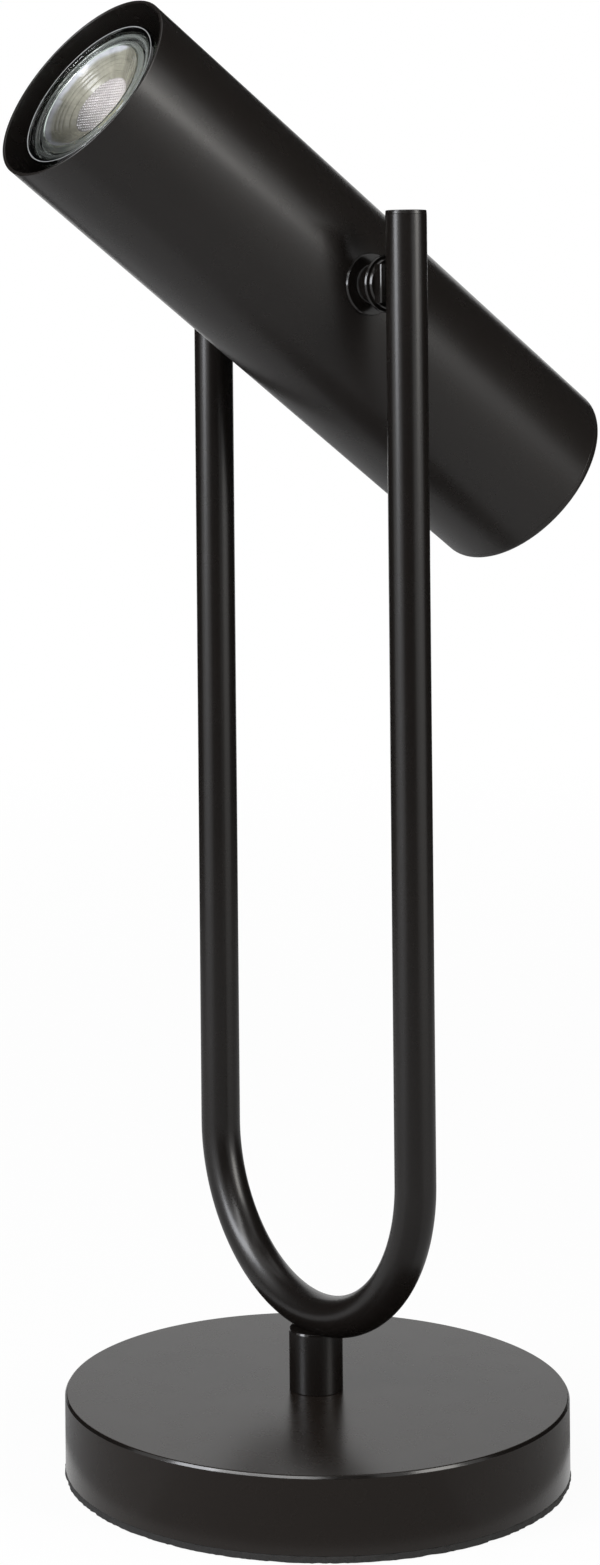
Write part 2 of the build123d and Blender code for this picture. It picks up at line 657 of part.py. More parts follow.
def lamp_holder():
    """Ceramic holder with two bayonet slots, a chamber under each and a hole for each core."""
    body = rod(HOLDER_DIAMETER / 2, holder_rear, holder_front)
    body = fillet(body.edges().group_by(Axis.Z)[-1], 1.0)
    for start in (90, 270):
        foot_width = PIN_FOOT_DIAMETER + 2 * PIN_PLAY
        neck_width = PIN_DIAMETER + 2 * PIN_PLAY
        body -= arc_slot(start, BULB_TWIST, foot_width, chamber_floor, chamber_ceiling)
        body -= arc_slot(start, BULB_TWIST, neck_width, chamber_ceiling, holder_front)
        entry = rod(foot_width / 2, chamber_ceiling, holder_front)
        body -= Rot(0, 0, start + BULB_TWIST) * (Pos(pin_radius, 0) * entry)
        body -= Rot(0, 0, start) * (Pos(pin_radius, 0) * rod(CORE_HOLE / 2, holder_rear, chamber_floor))
    for side in (-1, 1):
        place = Pos(side * HOLDER_SCREW_SPACING / 2, 0)
        body -= place * rod(HOLDER_SCREW_DIAMETER / 2 + SLIP_CLEARANCE, holder_rear, holder_front)
        body -= place * rod(HOLDER_SCREW_HEAD / 2 + SLIP_CLEARANCE, holder_front - HOLDER_SCREW_SINK, holder_front)
    return body


def holder_contacts():
    """Curved contact plates on the floors of the holder's chambers."""
    plates = [arc_slot(start, BULB_TWIST, PIN_FOOT_DIAMETER, chamber_floor, contact_top) for start in (90, 270)]
    return Compound([solid for plate in plates for solid in plate.solids()])


def holder_screws():
    grip = HOLDER_HEIGHT - HOLDER_SCREW_SINK + BRACKET_THICKNESS + HOLDER_SCREW_PAST
    one = screw(HOLDER_SCREW_DIAMETER, HOLDER_SCREW_HEAD, HOLDER_SCREW_HEAD_HEIGHT, grip)
    one = Pos(0, 0, holder_front - HOLDER_SCREW_SINK) * one
    sides = [Pos(side * HOLDER_SCREW_SPACING / 2, 0) * one for side in (-1, 1)]
    return Compound([solid for side in sides for solid in side.solids()])


def head_lead():
    """Lead from the stud's bore, coaxial with the pivot, bent towards the lamp holder."""
    bend_start = -HEAD_LEAD_OFFSET - LEAD_BEND
    route = [Line((-LEAD_MEET + RUN_GAP, 0, 0), (bend_start, 0, 0))]
    route.append(arc_xz(bend_start, LEAD_BEND, LEAD_BEND, -90, 0))
    route.append(Line((-HEAD_LEAD_OFFSET, 0, LEAD_BEND), (-HEAD_LEAD_OFFSET, 0, head_lead_top)))
    section = Plane(origin=(-LEAD_MEET + RUN_GAP, 0, 0), z_dir=(1, 0, 0)) * Circle(LEAD_DIAMETER / 2)
    return sweep(section, Wire(route))


def holder_leads():
    """The lead's two cores, from its end into the holder's holes."""
    cores = []
    for side in (-1, 1):
        near = side * LEAD_CORE_PITCH / 2
        start = (-HEAD_LEAD_OFFSET, near, head_lead_top + SLIP_CLEARANCE)
        spread_start = (-HEAD_LEAD_OFFSET, near, head_lead_top + CORE_RUN)
        spread_end = (0, side * pin_radius, head_lead_top + CORE_RUN + CORE_SPREAD)
        end = (0, side * pin_radius, chamber_floor - SLIP_CLEARANCE)
        path = FilletPolyline(start, spread_start, spread_end, end, radius=CORE_BEND)
        section = Plane(origin=start, z_dir=(0, 0, 1)) * Circle(LEAD_CORE_DIAMETER / 2)
        cores += sweep(section, path).solids()
    return Compound(cores)


# Reflector lamp, in the head's frame


def bulb_outline(inset, front, back):
    """Closed half-section of the lamp's body, drawn in by a wall."""
    rim = BULB_DIAMETER / 2 - inset
    face = BULB_FACE_DIAMETER / 2 - inset
    waist = BULB_WAIST_DIAMETER / 2 - inset
    lip = rim - face
    shoulder = bulb_face - BULB_RIM_DEPTH
    belly = (rim * 0.68 + waist * 0.32, (shoulder * 0.55 + back * 0.45))
    line = [Line((0, front), (face, front))]
    line.append(Line((face, front), (rim, front - lip)))
    line.append(Line((rim, front - lip), (rim, shoulder)))
    line.append(ThreePointArc((rim, shoulder), belly, (waist, back)))
    line.append(Line((waist, back), (0, back)))
    line.append(Line((0, back), (0, front)))
    return Plane.XZ * make_face(Wire(line))


def bulb_shell():
    """Clear bowl, open at the front where the lens sits."""
    body = revolve(bulb_outline(0, bulb_face, shell_end), Axis.Z, 360)
    body -= revolve(bulb_outline(BULB_WALL, bulb_face, shell_end), Axis.Z, 360)
    return body


def lens_radius():
    return BULB_FACE_DIAMETER / 2 - BULB_WALL - SLIP_CLEARANCE


def bulb_lens():
    """Flat rim with a cone behind it and a bowl in its front, whose floor is the eye."""
    back = lens_face - LENS_RIM
    lens = rod(lens_radius(), back, lens_face)
    cone = Cone(
        LENS_TIP_DIAMETER / 2,
        LENS_BODY_DIAMETER / 2,
        back - lens_tip,
        align=(Align.CENTER, Align.CENTER, Align.MIN),
    )
    lens += Pos(0, 0, lens_tip) * cone
    bowl = Cone(
        LENS_EYE_DIAMETER / 2,
        LENS_BOWL_DIAMETER / 2,
        LENS_EYE_DEPTH,
        align=(Align.CENTER, Align.CENTER, Align.MIN),
    )
    return lens - Pos(0, 0, lens_face - LENS_EYE_DEPTH) * bowl


def led_chip():
    return rod(CHIP_DIAMETER / 2, board_face, lens_tip)


def led_board():
    return rod(BOARD_DIAMETER / 2, board_back, board_face)


def bulb_core():
    """Heat spreader under the board, tapering to the lamp's cap."""
    plate_back = board_back - CORE_PLATE_THICKNESS
    core = rod(BOARD_DIAMETER / 2, plate_back, board_back)
    tail = Cone(
        CORE_TAIL_DIAMETER / 2,
        BOARD_DIAMETER / 2 - 1,
        plate_back - shell_end,
        align=(Align.CENTER, Align.CENTER, Align.MIN),
    )
    return core + Pos(0, 0, shell_end) * tail


def bulb_base():
    """Cap under the bowl, with sockets for the pins' roots."""
    collar = rod(BULB_WAIST_DIAMETER / 2 - 0.2, shell_end - BULB_COLLAR_HEIGHT, shell_end)
    body = collar + rod(BULB_BASE_DIAMETER / 2, bulb_seat, shell_end - BULB_COLLAR_HEIGHT)
    for side in (-1, 1):
        root = rod(PIN_DIAMETER / 2 + THREAD_CLEARANCE, bulb_seat, bulb_seat + PIN_ROOT)
        body -= Pos(0, side * pin_radius) * root
    return body


def bulb_pins():
    pin = rod(PIN_DIAMETER / 2, foot_top, bulb_seat + PIN_ROOT)
    pin += chamfer(rod(PIN_FOOT_DIAMETER / 2, foot_bottom, foot_top).edges(), 0.3)
    pins = [Pos(0, side * pin_radius) * pin for side in (-1, 1)]
    return Compound([solid for one in pins for solid in one.solids()])


BASE_PIECES = [
    base_pad,
    base_plate,
    base_plate_screws,
    base_weight,
    base_cover,
    cable_grommet,
    terminal_block,
    terminal_inserts,
    terminal_screws,
    terminal_block_screw,
    earth_tag,
    earth_screw,
    threaded_rod,
    rod_nut,
    lock_washer,
    rod_washer,
    neck_collar,
    u_frame,
    frame_lead,
]

HEAD_PIECES = [
    head_tube,
    head_rear_cap,
    holder_bracket,
    lamp_holder,
    holder_contacts,
    holder_screws,
    head_lead,
    holder_leads,
    bulb_shell,
    bulb_lens,
    led_chip,
    led_board,
    bulb_core,
    bulb_base,
    bulb_pins,
]

for piece in BASE_PIECES:
    save(piece.__name__, piece())

for piece in HEAD_PIECES:
    save(piece.__name__, head_place * piece())

for side_name, side in (("left", -1), ("right", 1)):
    save("leg_cap_" + side_name, leg_cap(side))
    for stem, (place, make) in PIVOT_PIECES.items():
        shape = make()
        if side < 0:
            shape = mirror(shape, about=Plane.YZ)
        save(stem + "_" + side_name, place * shape)

print("lead bends", LEAD_BEND, "and", bend_radius, "core bends", CORE_BEND)
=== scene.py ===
import json
import math

import bmesh
import bpy
from mathutils import Matrix, Vector, noise


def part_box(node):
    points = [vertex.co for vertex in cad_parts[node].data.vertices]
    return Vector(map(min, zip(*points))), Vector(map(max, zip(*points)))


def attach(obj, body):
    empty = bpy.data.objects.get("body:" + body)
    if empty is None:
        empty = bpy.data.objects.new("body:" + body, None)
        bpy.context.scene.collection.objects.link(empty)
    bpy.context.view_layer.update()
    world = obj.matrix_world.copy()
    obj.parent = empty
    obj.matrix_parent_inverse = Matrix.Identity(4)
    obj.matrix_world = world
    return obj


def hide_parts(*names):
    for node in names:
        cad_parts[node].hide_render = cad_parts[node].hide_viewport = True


# Desk lamp in satin black. Everything is in metres and in the frame of the solids.
# +Z is up, X runs from leg to leg, and the head shines up and towards -Y.

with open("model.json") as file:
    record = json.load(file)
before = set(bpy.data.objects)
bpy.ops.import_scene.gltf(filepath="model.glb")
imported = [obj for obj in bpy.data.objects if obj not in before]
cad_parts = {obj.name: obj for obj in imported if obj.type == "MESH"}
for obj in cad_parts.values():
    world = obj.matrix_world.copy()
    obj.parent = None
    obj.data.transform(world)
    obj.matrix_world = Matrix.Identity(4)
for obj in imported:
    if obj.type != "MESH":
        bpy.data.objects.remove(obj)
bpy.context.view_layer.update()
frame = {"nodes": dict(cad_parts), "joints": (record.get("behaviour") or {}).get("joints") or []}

MM = 0.001

# Segments round a piece
TUBE_ROUND = 64
SMALL_ROUND = 96
RING_ROUND = 144
LAMP_ROUND = 160
LENS_ROUND = 288
LARGE_ROUND = 320
PAD_ROUND = 480

# Angles in degrees past which an edge shades sharp: in general, on large curves, on small rims
SHARP = 32
SHARP_LARGE = 40
SHARP_SMALL = 50

# Angles in degrees by which the rims of small pieces and the cover's top edge lean in
RIM_LEAN = 22.0
EDGE_LEAN = 33.0

# Clearances: from the solids' ends, at seats, at brazed joints and at threads
HAIR = 0.01 * MM
SEAT_GAP = 0.05 * MM
BRAZE_GAP = 0.03 * MM
THREAD_GAP = 0.02 * MM

# Sizes of the base, frame and head that the boxes of the solids don't give
COVER_WALL = 1.2 * MM
COVER_EDGE = 0.45 * MM
COVER_HOLE = 5.2 * MM
INLET_HOLE = 4.5 * MM
NECK_BORE = 3.5 * MM
SADDLE_DEPTH = 1.5 * MM
TUBE_WALL = 1.0 * MM
PLUG_DEPTH = 6 * MM
DISC_BACK = 28 * MM
HEAD_RADIUS = 31.49 * MM
HEAD_WALL = 1.0 * MM
REAR_EDGE = 1.5 * MM
SPIGOT_DEPTH = 8 * MM

# Reflector lamp: glass shell and the bead round its face
SHELL_RIM = 25.0 * MM
SHELL_WAIST = 12.5 * MM
SHELL_WALL = 1.6 * MM
SHELL_BAND = 6.0 * MM
FACE_RADIUS = 24.7 * MM
BEAD_RADIUS = 23.9 * MM
BEAD_WIDTH = 0.5 * MM

# Lens: radii of its outside, ridge, groove, lip, bowl and eye, which is the bowl's dotted floor
LENS_RADIUS = 23.05 * MM
LENS_BODY = 19.0 * MM
LENS_TIP = 6.0 * MM
RIDGE_OUT = 22.2 * MM
RIDGE_IN = 21.4 * MM
GROOVE_OUT = 21.1 * MM
GROOVE_IN = 20.2 * MM
LIP_FOOT = 19.8 * MM
BOWL_RADIUS = 18.0 * MM
EYE_RADIUS = 10.0 * MM

# Depths of the lens's edge and of its eye below the face, and the domes on the eye
LENS_EDGE = 2.0 * MM
EYE_DEPTH = 4.5 * MM
DOME_PITCH = 1.15 * MM
DOME_HEIGHT = 0.45 * MM
DOME_RADIUS = 0.58 * DOME_PITCH

# Grooves in the bowl's wall, in millimetres: depth below the face, and how far they cut in
BOWL_GROOVES = ((1.3, 0.08), (1.9, 0.05), (2.5, 0.08), (3.5, 0.04))

# How far from the axis the barrel's shade is at its deepest, on the lens and on its eye
LENS_SHADE = 20.0 * MM
EYE_SHADE = 12.0 * MM

# Slots of the lens's materials
CLEAR, MIRROR, FROST, BOWL, EYE = range(5)

# Indices of refraction, and the roughness of the coat where it is smoothest
GLASS = 1.5
ACRYLIC = 1.49
SMOOTH = (0.14, 0.17)

# Lowest and highest corners of the solids, and what follows from them
cover_low, cover_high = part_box("base_cover")
pad_low, pad_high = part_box("base_pad")
collar_low, collar_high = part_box("neck_collar")
tube_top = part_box("u_frame")[1].z
cap_low, cap_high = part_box("leg_cap_right")
grommet_low, grommet_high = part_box("cable_grommet")
saddle_low, saddle_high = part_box("pivot_saddle_right")
flange_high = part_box("pivot_flange_right")[1]
stud_low, stud_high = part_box("pivot_stud_right")

cover_radius = cover_high.x
pad_radius = pad_high.x
collar_radius = collar_high.x
tube_radius = (cap_high.x - cap_low.x) / 2
leg_x = (cap_high.x + cap_low.x) / 2
bend_radius = leg_x
bend_centre = collar_high.z - SADDLE_DEPTH + tube_radius + bend_radius
inlet_height = (grommet_low.z + grommet_high.z) / 2
stud_radius = stud_high.z - (stud_low.z + stud_high.z) / 2

# The head's pivot, the way it shines, and the place of its own frame, whose Z runs along it
joints = {joint["name"]: joint for joint in frame["joints"]}
pivot = Vector(joints["head_tilt"]["pos_m"])
beam = Vector(joints["bulb_twist"]["axis"]).normalized()
head_turn = math.atan2(-beam.y, beam.z)
head_place = Matrix.Translation(pivot) @ Matrix.Rotation(head_turn, 4, "X")

along_x = Matrix.Rotation(math.pi / 2, 4, "Y")
along_y = Matrix.Rotation(-math.pi / 2, 4, "X")
mirror_x = Matrix.Scale(-1, 4, (1, 0, 0))


def reach(node):
    """How far a node goes along the head's axis from the pivot, at its two ends."""
    along = [(v.co - pivot).dot(beam) for v in frame["nodes"][node].data.vertices]
    return min(along), max(along)


head_back, head_front = reach("head_tube")
mouth = head_front - HAIR
cap_back = reach("head_rear_cap")[0] + HAIR
bulb_back, bulb_face = reach("bulb_shell")
lens_tip, lens_face = reach("bulb_lens")


# Mesh tools


def hold_flat(points, end, way, neighbour, fillet):
    """Adds a point just past a fillet's end, where there is room, so that the flat next to it shades flat."""
    room = (neighbour - end).length
    if room > fillet * 1.2:
        points.append(tuple(end + way * min(fillet * 0.35, room / 3)))


def rounded(corners, steps=6):
    """Closed (radius, height) outline whose corners (radius, height, fillet) are rounded."""
    points = []
    count = len(corners)
    for i, (r, z, fillet) in enumerate(corners):
        if fillet <= 0:
            points.append((r, z))
            continue
        here = Vector((r, z))
        before = Vector(corners[i - 1][:2])
        after = Vector(corners[(i + 1) % count][:2])
        to_before = (before - here).normalized()
        to_after = (after - here).normalized()
        half = to_before.angle(to_after) / 2
        run = fillet / math.tan(half)
        centre = here + (to_before + to_after).normalized() * (fillet / math.sin(half))
        start = here + to_before * run
        end = here + to_after * run
        hold_flat(points, start, to_before, before, fillet)
        first = start - centre
        turn = first.angle_signed(end - centre)
        for k in range(steps + 1):
            a = -turn * k / steps
            x = first.x * math.cos(a) - first.y * math.sin(a)
            y = first.x * math.sin(a) + first.y * math.cos(a)
            points.append(tuple(centre + Vector((x, y))))
        hold_flat(points, end, to_after, after, fillet)
    return points


def finish_mesh(name, bm, place=None, sharp=SHARP):
    """Turns a bmesh into a smooth-shaded object with sharp edges past an angle."""
    bmesh.ops.remove_doubles(bm, verts=bm.verts, dist=1e-7)
    bmesh.ops.recalc_face_normals(bm, faces=bm.faces)
    mesh = bpy.data.meshes.new(name)
    bm.to_mesh(mesh)
    bm.free()
    if place is not None:
        mesh.transform(place)
    shade(mesh, sharp)
    obj = bpy.data.objects.new(name, mesh)
    bpy.context.scene.collection.objects.link(obj)
    return obj


def shade(mesh, sharp):
    """Smooth shading, apart from edges past an angle."""
    mesh.polygons.foreach_set("use_smooth", [True] * len(mesh.polygons))
    mesh.set_sharp_from_angle(angle=math.radians(sharp))


def spin_bmesh(loop, segments, wobble=None):
    """Surface of revolution about Z of a closed (radius, height) loop."""
    bm = bmesh.new()
    rings = []
    for r, z in loop:
        if r < 1e-7:
            rings.append([bm.verts.new((0, 0, z))])
            continue
        ring = []
        for j in range(segments):
            a = 2 * math.pi * j / segments
            rr = r if wobble is None else r + wobble(r, z, a)
            ring.append(bm.verts.new((rr * math.cos(a), rr * math.sin(a), z)))
        rings.append(ring)
    for i, ring in enumerate(rings):
        after = rings[(i + 1) % len(rings)]
        if len(ring) == 1 and len(after) == 1:
            continue
        for j in range(segments):
            k = (j + 1) % segments
            if len(ring) == 1:
                bm.faces.new((ring[0], after[k], after[j]))
            elif len(after) == 1:
                bm.faces.new((ring[j], ring[k], after[0]))
            else:
                bm.faces.new((ring[j], ring[k], after[k], after[j]))
    return bm


def lathe(name, corners, place=None, segments=SMALL_ROUND, sharp=SHARP, steps=6, wobble=None):
    """Turned piece with rounded corners."""
    return finish_mesh(name, spin_bmesh(rounded(corners, steps), segments, wobble), place, sharp)


def washer(name, radius, bore, low, high, place=None):
    """Punched ring: its rim leans in towards the outer face, and its edges are rounded."""
    lean = (high - low) * 0.55
    drop = lean * math.tan(math.radians(RIM_LEAN))
    corners = [
        (bore, low, 0),
        (radius, low, 0.1 * MM),
        (radius, high - lean, 0.05 * MM),
        (radius - drop, high, 0.1 * MM),
        (bore, high, 0),
    ]
    return lathe(name, corners, place, RING_ROUND, SHARP_SMALL)


def bar(name, radius, low, high, place=None, segments=SMALL_ROUND):
    """Plain round tool for cutting."""
    corners = [(0, low, 0), (radius, low, 0), (radius, high, 0), (0, high, 0)]
    return lathe(name, corners, place, segments)


def edge_faces(obj, material, chosen):
    """Gives a second material to the faces whose centre and normal pass a test."""
    obj.data.materials.append(material)
    for face in obj.data.polygons:
        if chosen(face.center, face.normal):
            face.material_index = 1


def cut(obj, *tools):
    """Subtracts closed tool objects from an object, keeps the result and removes the tools."""
    for tool in tools:
        step = obj.modifiers.new("cut", "BOOLEAN")
        step.operation = "DIFFERENCE"
        step.solver = "EXACT"
        step.object = tool
    graph = bpy.context.evaluated_depsgraph_get()
    made = bpy.data.meshes.new_from_object(obj.evaluated_get(graph))
    obj.modifiers.clear()
    old = obj.data
    obj.data = made
    made.name = obj.name
    bpy.data.meshes.remove(old)
    shade(made, SHARP)
    for tool in tools:
        bpy.data.objects.remove(tool)


def frame_line(straight_steps=10, bend_steps=96):
    """Points and tangents of the frame's centre line: down one leg, round the bend, up the other."""
    line = []
    for i in range(straight_steps):
        z = tube_top + (bend_centre - tube_top) * i / straight_steps
        line.append((Vector((-leg_x, 0, z)), Vector((0, 0, -1))))
    for i in range(bend_steps + 1):
        a = math.pi + math.pi * i / bend_steps
        centre = Vector((bend_radius * math.cos(a), 0, bend_centre + bend_radius * math.sin(a)))
        line.append((centre, Vector((-math.sin(a), 0, math.cos(a)))))
    for i in range(1, straight_steps + 1):
        z = bend_centre + (tube_top - bend_centre) * i / straight_steps
        line.append((Vector((leg_x, 0, z)), Vector((0, 0, 1))))
    return line


def bent_tube(name, radii, around=TUBE_ROUND):
    """Tube along the frame's centre line, solid with one radius or hollow with two."""
    bm = bmesh.new()
    line = frame_line()
    side = Vector((0, 1, 0))
    skins = []
    for radius in radii:
        rings = []
        for centre, tangent in line:
            out = side.cross(tangent).normalized()
            ring = []
            for j in range(around):
                a = 2 * math.pi * j / around
                spoke = out * (radius * math.cos(a))
                ring.append(bm.verts.new(centre + spoke + side * (radius * math.sin(a))))
            rings.append(ring)
        skins.append(rings)
        for ring, after in zip(rings, rings[1:]):
            for j in range(around):
                k = (j + 1) % around
                bm.faces.new((ring[j], ring[k], after[k], after[j]))
    for end in (0, -1):
        if len(skins) == 1:
            bm.faces.new(skins[0][end])
            continue
        outer, inner = skins[0][end], skins[1][end]
        for j in range(around):
            k = (j + 1) % around
            bm.faces.new((outer[j], outer[k], inner[k], inner[j]))
    return finish_mesh(name, bm)


def saddle_block(name):
    """Block between the washers and the leg; its ends lean in by the leg."""
    lean = 0.6 * MM
    drop = lean * math.tan(math.radians(RIM_LEAN))
    inner, outer, half = saddle_low.x, saddle_high.x, saddle_high.y
    outline = [(inner, -half), (outer - lean, -half), (outer, -half + drop)]
    outline += [(x, -y) for x, y in outline[::-1]]
    bm = bmesh.new()
    low = [bm.verts.new((x, y, saddle_low.z)) for x, y in outline]
    high = [bm.verts.new((x, y, saddle_high.z)) for x, y in outline]
    bm.faces.new(low[::-1])
    bm.faces.new(high)
    for i in range(len(outline)):
        k = (i + 1) % len(outline)
        bm.faces.new((low[i], low[k], high[k], high[i]))
    edge = 0.1 * MM
    bmesh.ops.bevel(bm, geom=bm.edges[:], offset=edge, segments=2, profile=0.5, affect="EDGES")
    return finish_mesh(name, bm)


# Material tools


def new_material(name):
    mat = bpy.data.materials.new(name)
    mat.use_nodes = True
    return mat, mat.node_tree, mat.node_tree.nodes["Principled BSDF"]


def place_in(tree):
    """The object's own coordinates, which are metres."""
    return tree.nodes.new("ShaderNodeTexCoord").outputs["Object"]


def noise_at(tree, place, scale, detail, rough):
    """Noise at a place."""
    tex = tree.nodes.new("ShaderNodeTexNoise")
    tex.inputs["Scale"].default_value = scale
    tex.inputs["Detail"].default_value = detail
    tex.inputs["Roughness"].default_value = rough
    tree.links.new(place, tex.inputs["Vector"])
    return tex.outputs["Fac"]


def noise_in(tree, scale, detail=4.0, rough=0.55, stretch=None):
    """Noise in the object's own coordinates, stretched along the axes if asked."""
    place = place_in(tree)
    if stretch is not None:
        mapping = tree.nodes.new("ShaderNodeMapping")
        mapping.inputs["Scale"].default_value = stretch
        tree.links.new(place, mapping.inputs["Vector"])
        place = mapping.outputs["Vector"]
    return noise_at(tree, place, scale, detail, rough)


def ramp(tree, source, low, high, start=0.3, end=0.7):
    """Colour ramp between two colours; it starts and ends where noise mostly does."""
    node = tree.nodes.new("ShaderNodeValToRGB")
    node.color_ramp.elements[0].position = start
    node.color_ramp.elements[0].color = (*low, 1)
    node.color_ramp.elements[1].position = end
    node.color_ramp.elements[1].color = (*high, 1)
    tree.links.new(source, node.inputs["Fac"])
    return node


def map_range(tree, source, start, end, low, high, kind="LINEAR"):
    """Maps start to end onto low to high, and holds low and high beyond."""
    node = tree.nodes.new("ShaderNodeMapRange")
    node.interpolation_type = kind
    node.inputs["From Min"].default_value = start
    node.inputs["From Max"].default_value = end
    node.inputs["To Min"].default_value = low
    node.inputs["To Max"].default_value = high
    tree.links.new(source, node.inputs["Value"])
    return node.outputs["Result"]


def spread(tree, source, low, high):
    """Maps the range that noise mostly has, 0.3 to 0.7, onto low to high."""
    return map_range(tree, source, 0.3, 0.7, low, high)


def calc(tree, operation, first, second=0.0):
    """Math node on two values, each a number or an output."""
    node = tree.nodes.new("ShaderNodeMath")
    node.operation = operation
    for socket, value in zip(node.inputs, (first, second)):
        if isinstance(value, (int, float)):
            socket.default_value = value
        else:
            tree.links.new(value, socket)
    return node.outputs["Value"]


def scaled(tree, colour, factor):
    """A colour times a factor."""
    node = tree.nodes.new("ShaderNodeVectorMath")
    node.operation = "SCALE"
    tree.links.new(colour, node.inputs[0])
    tree.links.new(factor, node.inputs["Scale"])
    return node.outputs["Vector"]


def tint(tree, source, shader, low, high):
    """Colour between two colours by a source."""
    colour = ramp(tree, source, low, high).outputs["Color"]
    tree.links.new(colour, shader.inputs["Base Color"])


def gloss(tree, source, shader, rough):
    """Roughness between two values by a source."""
    tree.links.new(spread(tree, source, *rough), shader.inputs["Roughness"])


def bump(tree, source, shader, strength, distance):
    """Relief by a source, over a distance in metres."""
    node = tree.nodes.new("ShaderNodeBump")
    node.inputs["Strength"].default_value = strength
    node.inputs["Distance"].default_value = distance
    tree.links.new(source, node.inputs["Height"])
    tree.links.new(node.outputs["Normal"], shader.inputs["Normal"])


def head_axes(tree):
    """Outputs X and Y across the head and Z along it, from its pivot."""
    turned = tree.nodes.new("ShaderNodeMapping")
    turned.vector_type = "TEXTURE"
    turned.inputs["Location"].default_value = pivot
    turned.inputs["Rotation"].default_value = (head_turn, 0, 0)
    tree.links.new(place_in(tree), turned.inputs["Vector"])
    split = tree.nodes.new("ShaderNodeSeparateXYZ")
    tree.links.new(turned.outputs["Vector"], split.inputs["Vector"])
    return split.outputs


def streaks(tree, around, across, along):
    """Noise in polar coordinates about the head's axis: so fine around, across and along it."""
    x, y, z = head_axes(tree)
    angle = calc(tree, "ARCTAN2", y, x)
    square = calc(tree, "ADD", calc(tree, "POWER", x, 2), calc(tree, "POWER", y, 2))
    radius = calc(tree, "SQRT", square)
    joined = tree.nodes.new("ShaderNodeCombineXYZ")
    for socket, value, fine in zip(joined.inputs, (angle, radius, z), (around, across, along)):
        tree.links.new(calc(tree, "MULTIPLY", value, fine), socket)
    return noise_at(tree, joined.outputs["Vector"], 1.0, 4.0, 0.5)


def barrel_shade(tree, colour, span):
    """Darkens a colour on the lens towards the lower and -X sides, as the black barrel round it does.

    The fall is fixed to the lens, and its direction and strength were set."""
    axes = head_axes(tree)
    slant = calc(tree, "ADD", axes["Y"], calc(tree, "MULTIPLY", axes["X"], 0.6))
    return scaled(tree, colour, map_range(tree, slant, -span, 0.1 * span, 0.25, 1.0, "SMOOTHSTEP"))


# Kinds of material. Roughnesses are pairs, and depths of relief are in metres.


def satin_coat(name, dark, light, rough=(0.26, 0.28), grain=1800.0, depth=0.00001, gleam=0.42):
    """Powder coat: a slow change of shade, a finer change of gloss and an orange-peel grain."""
    mat, tree, shader = new_material(name)
    tint(tree, noise_in(tree, 14.0, 3.0), shader, dark, light)
    gloss(tree, noise_in(tree, 90.0, 5.0), shader, rough)
    bump(tree, noise_in(tree, grain, 2.0), shader, 0.35, depth)
    shader.inputs["Specular IOR Level"].default_value = gleam
    return mat


def metal(name, dark, light, rough, scale, stretch=None, depth=0.00002):
    mat, tree, shader = new_material(name)
    tex = noise_in(tree, scale, 4.0, 0.6, stretch)
    tint(tree, tex, shader, dark, light)
    gloss(tree, tex, shader, rough)
    shader.inputs["Metallic"].default_value = 1.0
    bump(tree, tex, shader, 0.3, depth)
    return mat


def plastic(name, dark, light, rough, scale, depth=0.00003):
    """Also foam, rubber, ceramic and phosphor."""
    mat, tree, shader = new_material(name)
    tex = noise_in(tree, scale, 5.0)
    tint(tree, tex, shader, dark, light)
    gloss(tree, tex, shader, rough)
    bump(tree, tex, shader, 0.4, depth)
    return mat


def clear(name, dark, light, rough, ior, scale, depth, weight=1.0, span=None):
    """Moulded clear part, faintly uneven; with a span, the barrel shades it."""
    mat, tree, shader = new_material(name)
    tex = noise_in(tree, scale, 3.0)
    colour = ramp(tree, tex, dark, light).outputs["Color"]
    if span is not None:
        colour = barrel_shade(tree, colour, span)
    tree.links.new(colour, shader.inputs["Base Color"])
    gloss(tree, tex, shader, rough)
    shader.inputs["Transmission Weight"].default_value = weight
    shader.inputs["IOR"].default_value = ior
    bump(tree, tex, shader, 0.25, depth)
    return mat


def mirror_back(name):
    """Vacuum-coated back of the lens: silvery, warm and a little streaked from the moulding."""
    mat, tree, shader = new_material(name)
    tex = streaks(tree, 6.0, 700.0, 700.0)
    tint(tree, tex, shader, (0.66, 0.65, 0.56), (0.86, 0.86, 0.84))
    gloss(tree, tex, shader, (0.28, 0.45))
    shader.inputs["Metallic"].default_value = 0.5
    bump(tree, tex, shader, 0.5, 0.0005)
    return mat


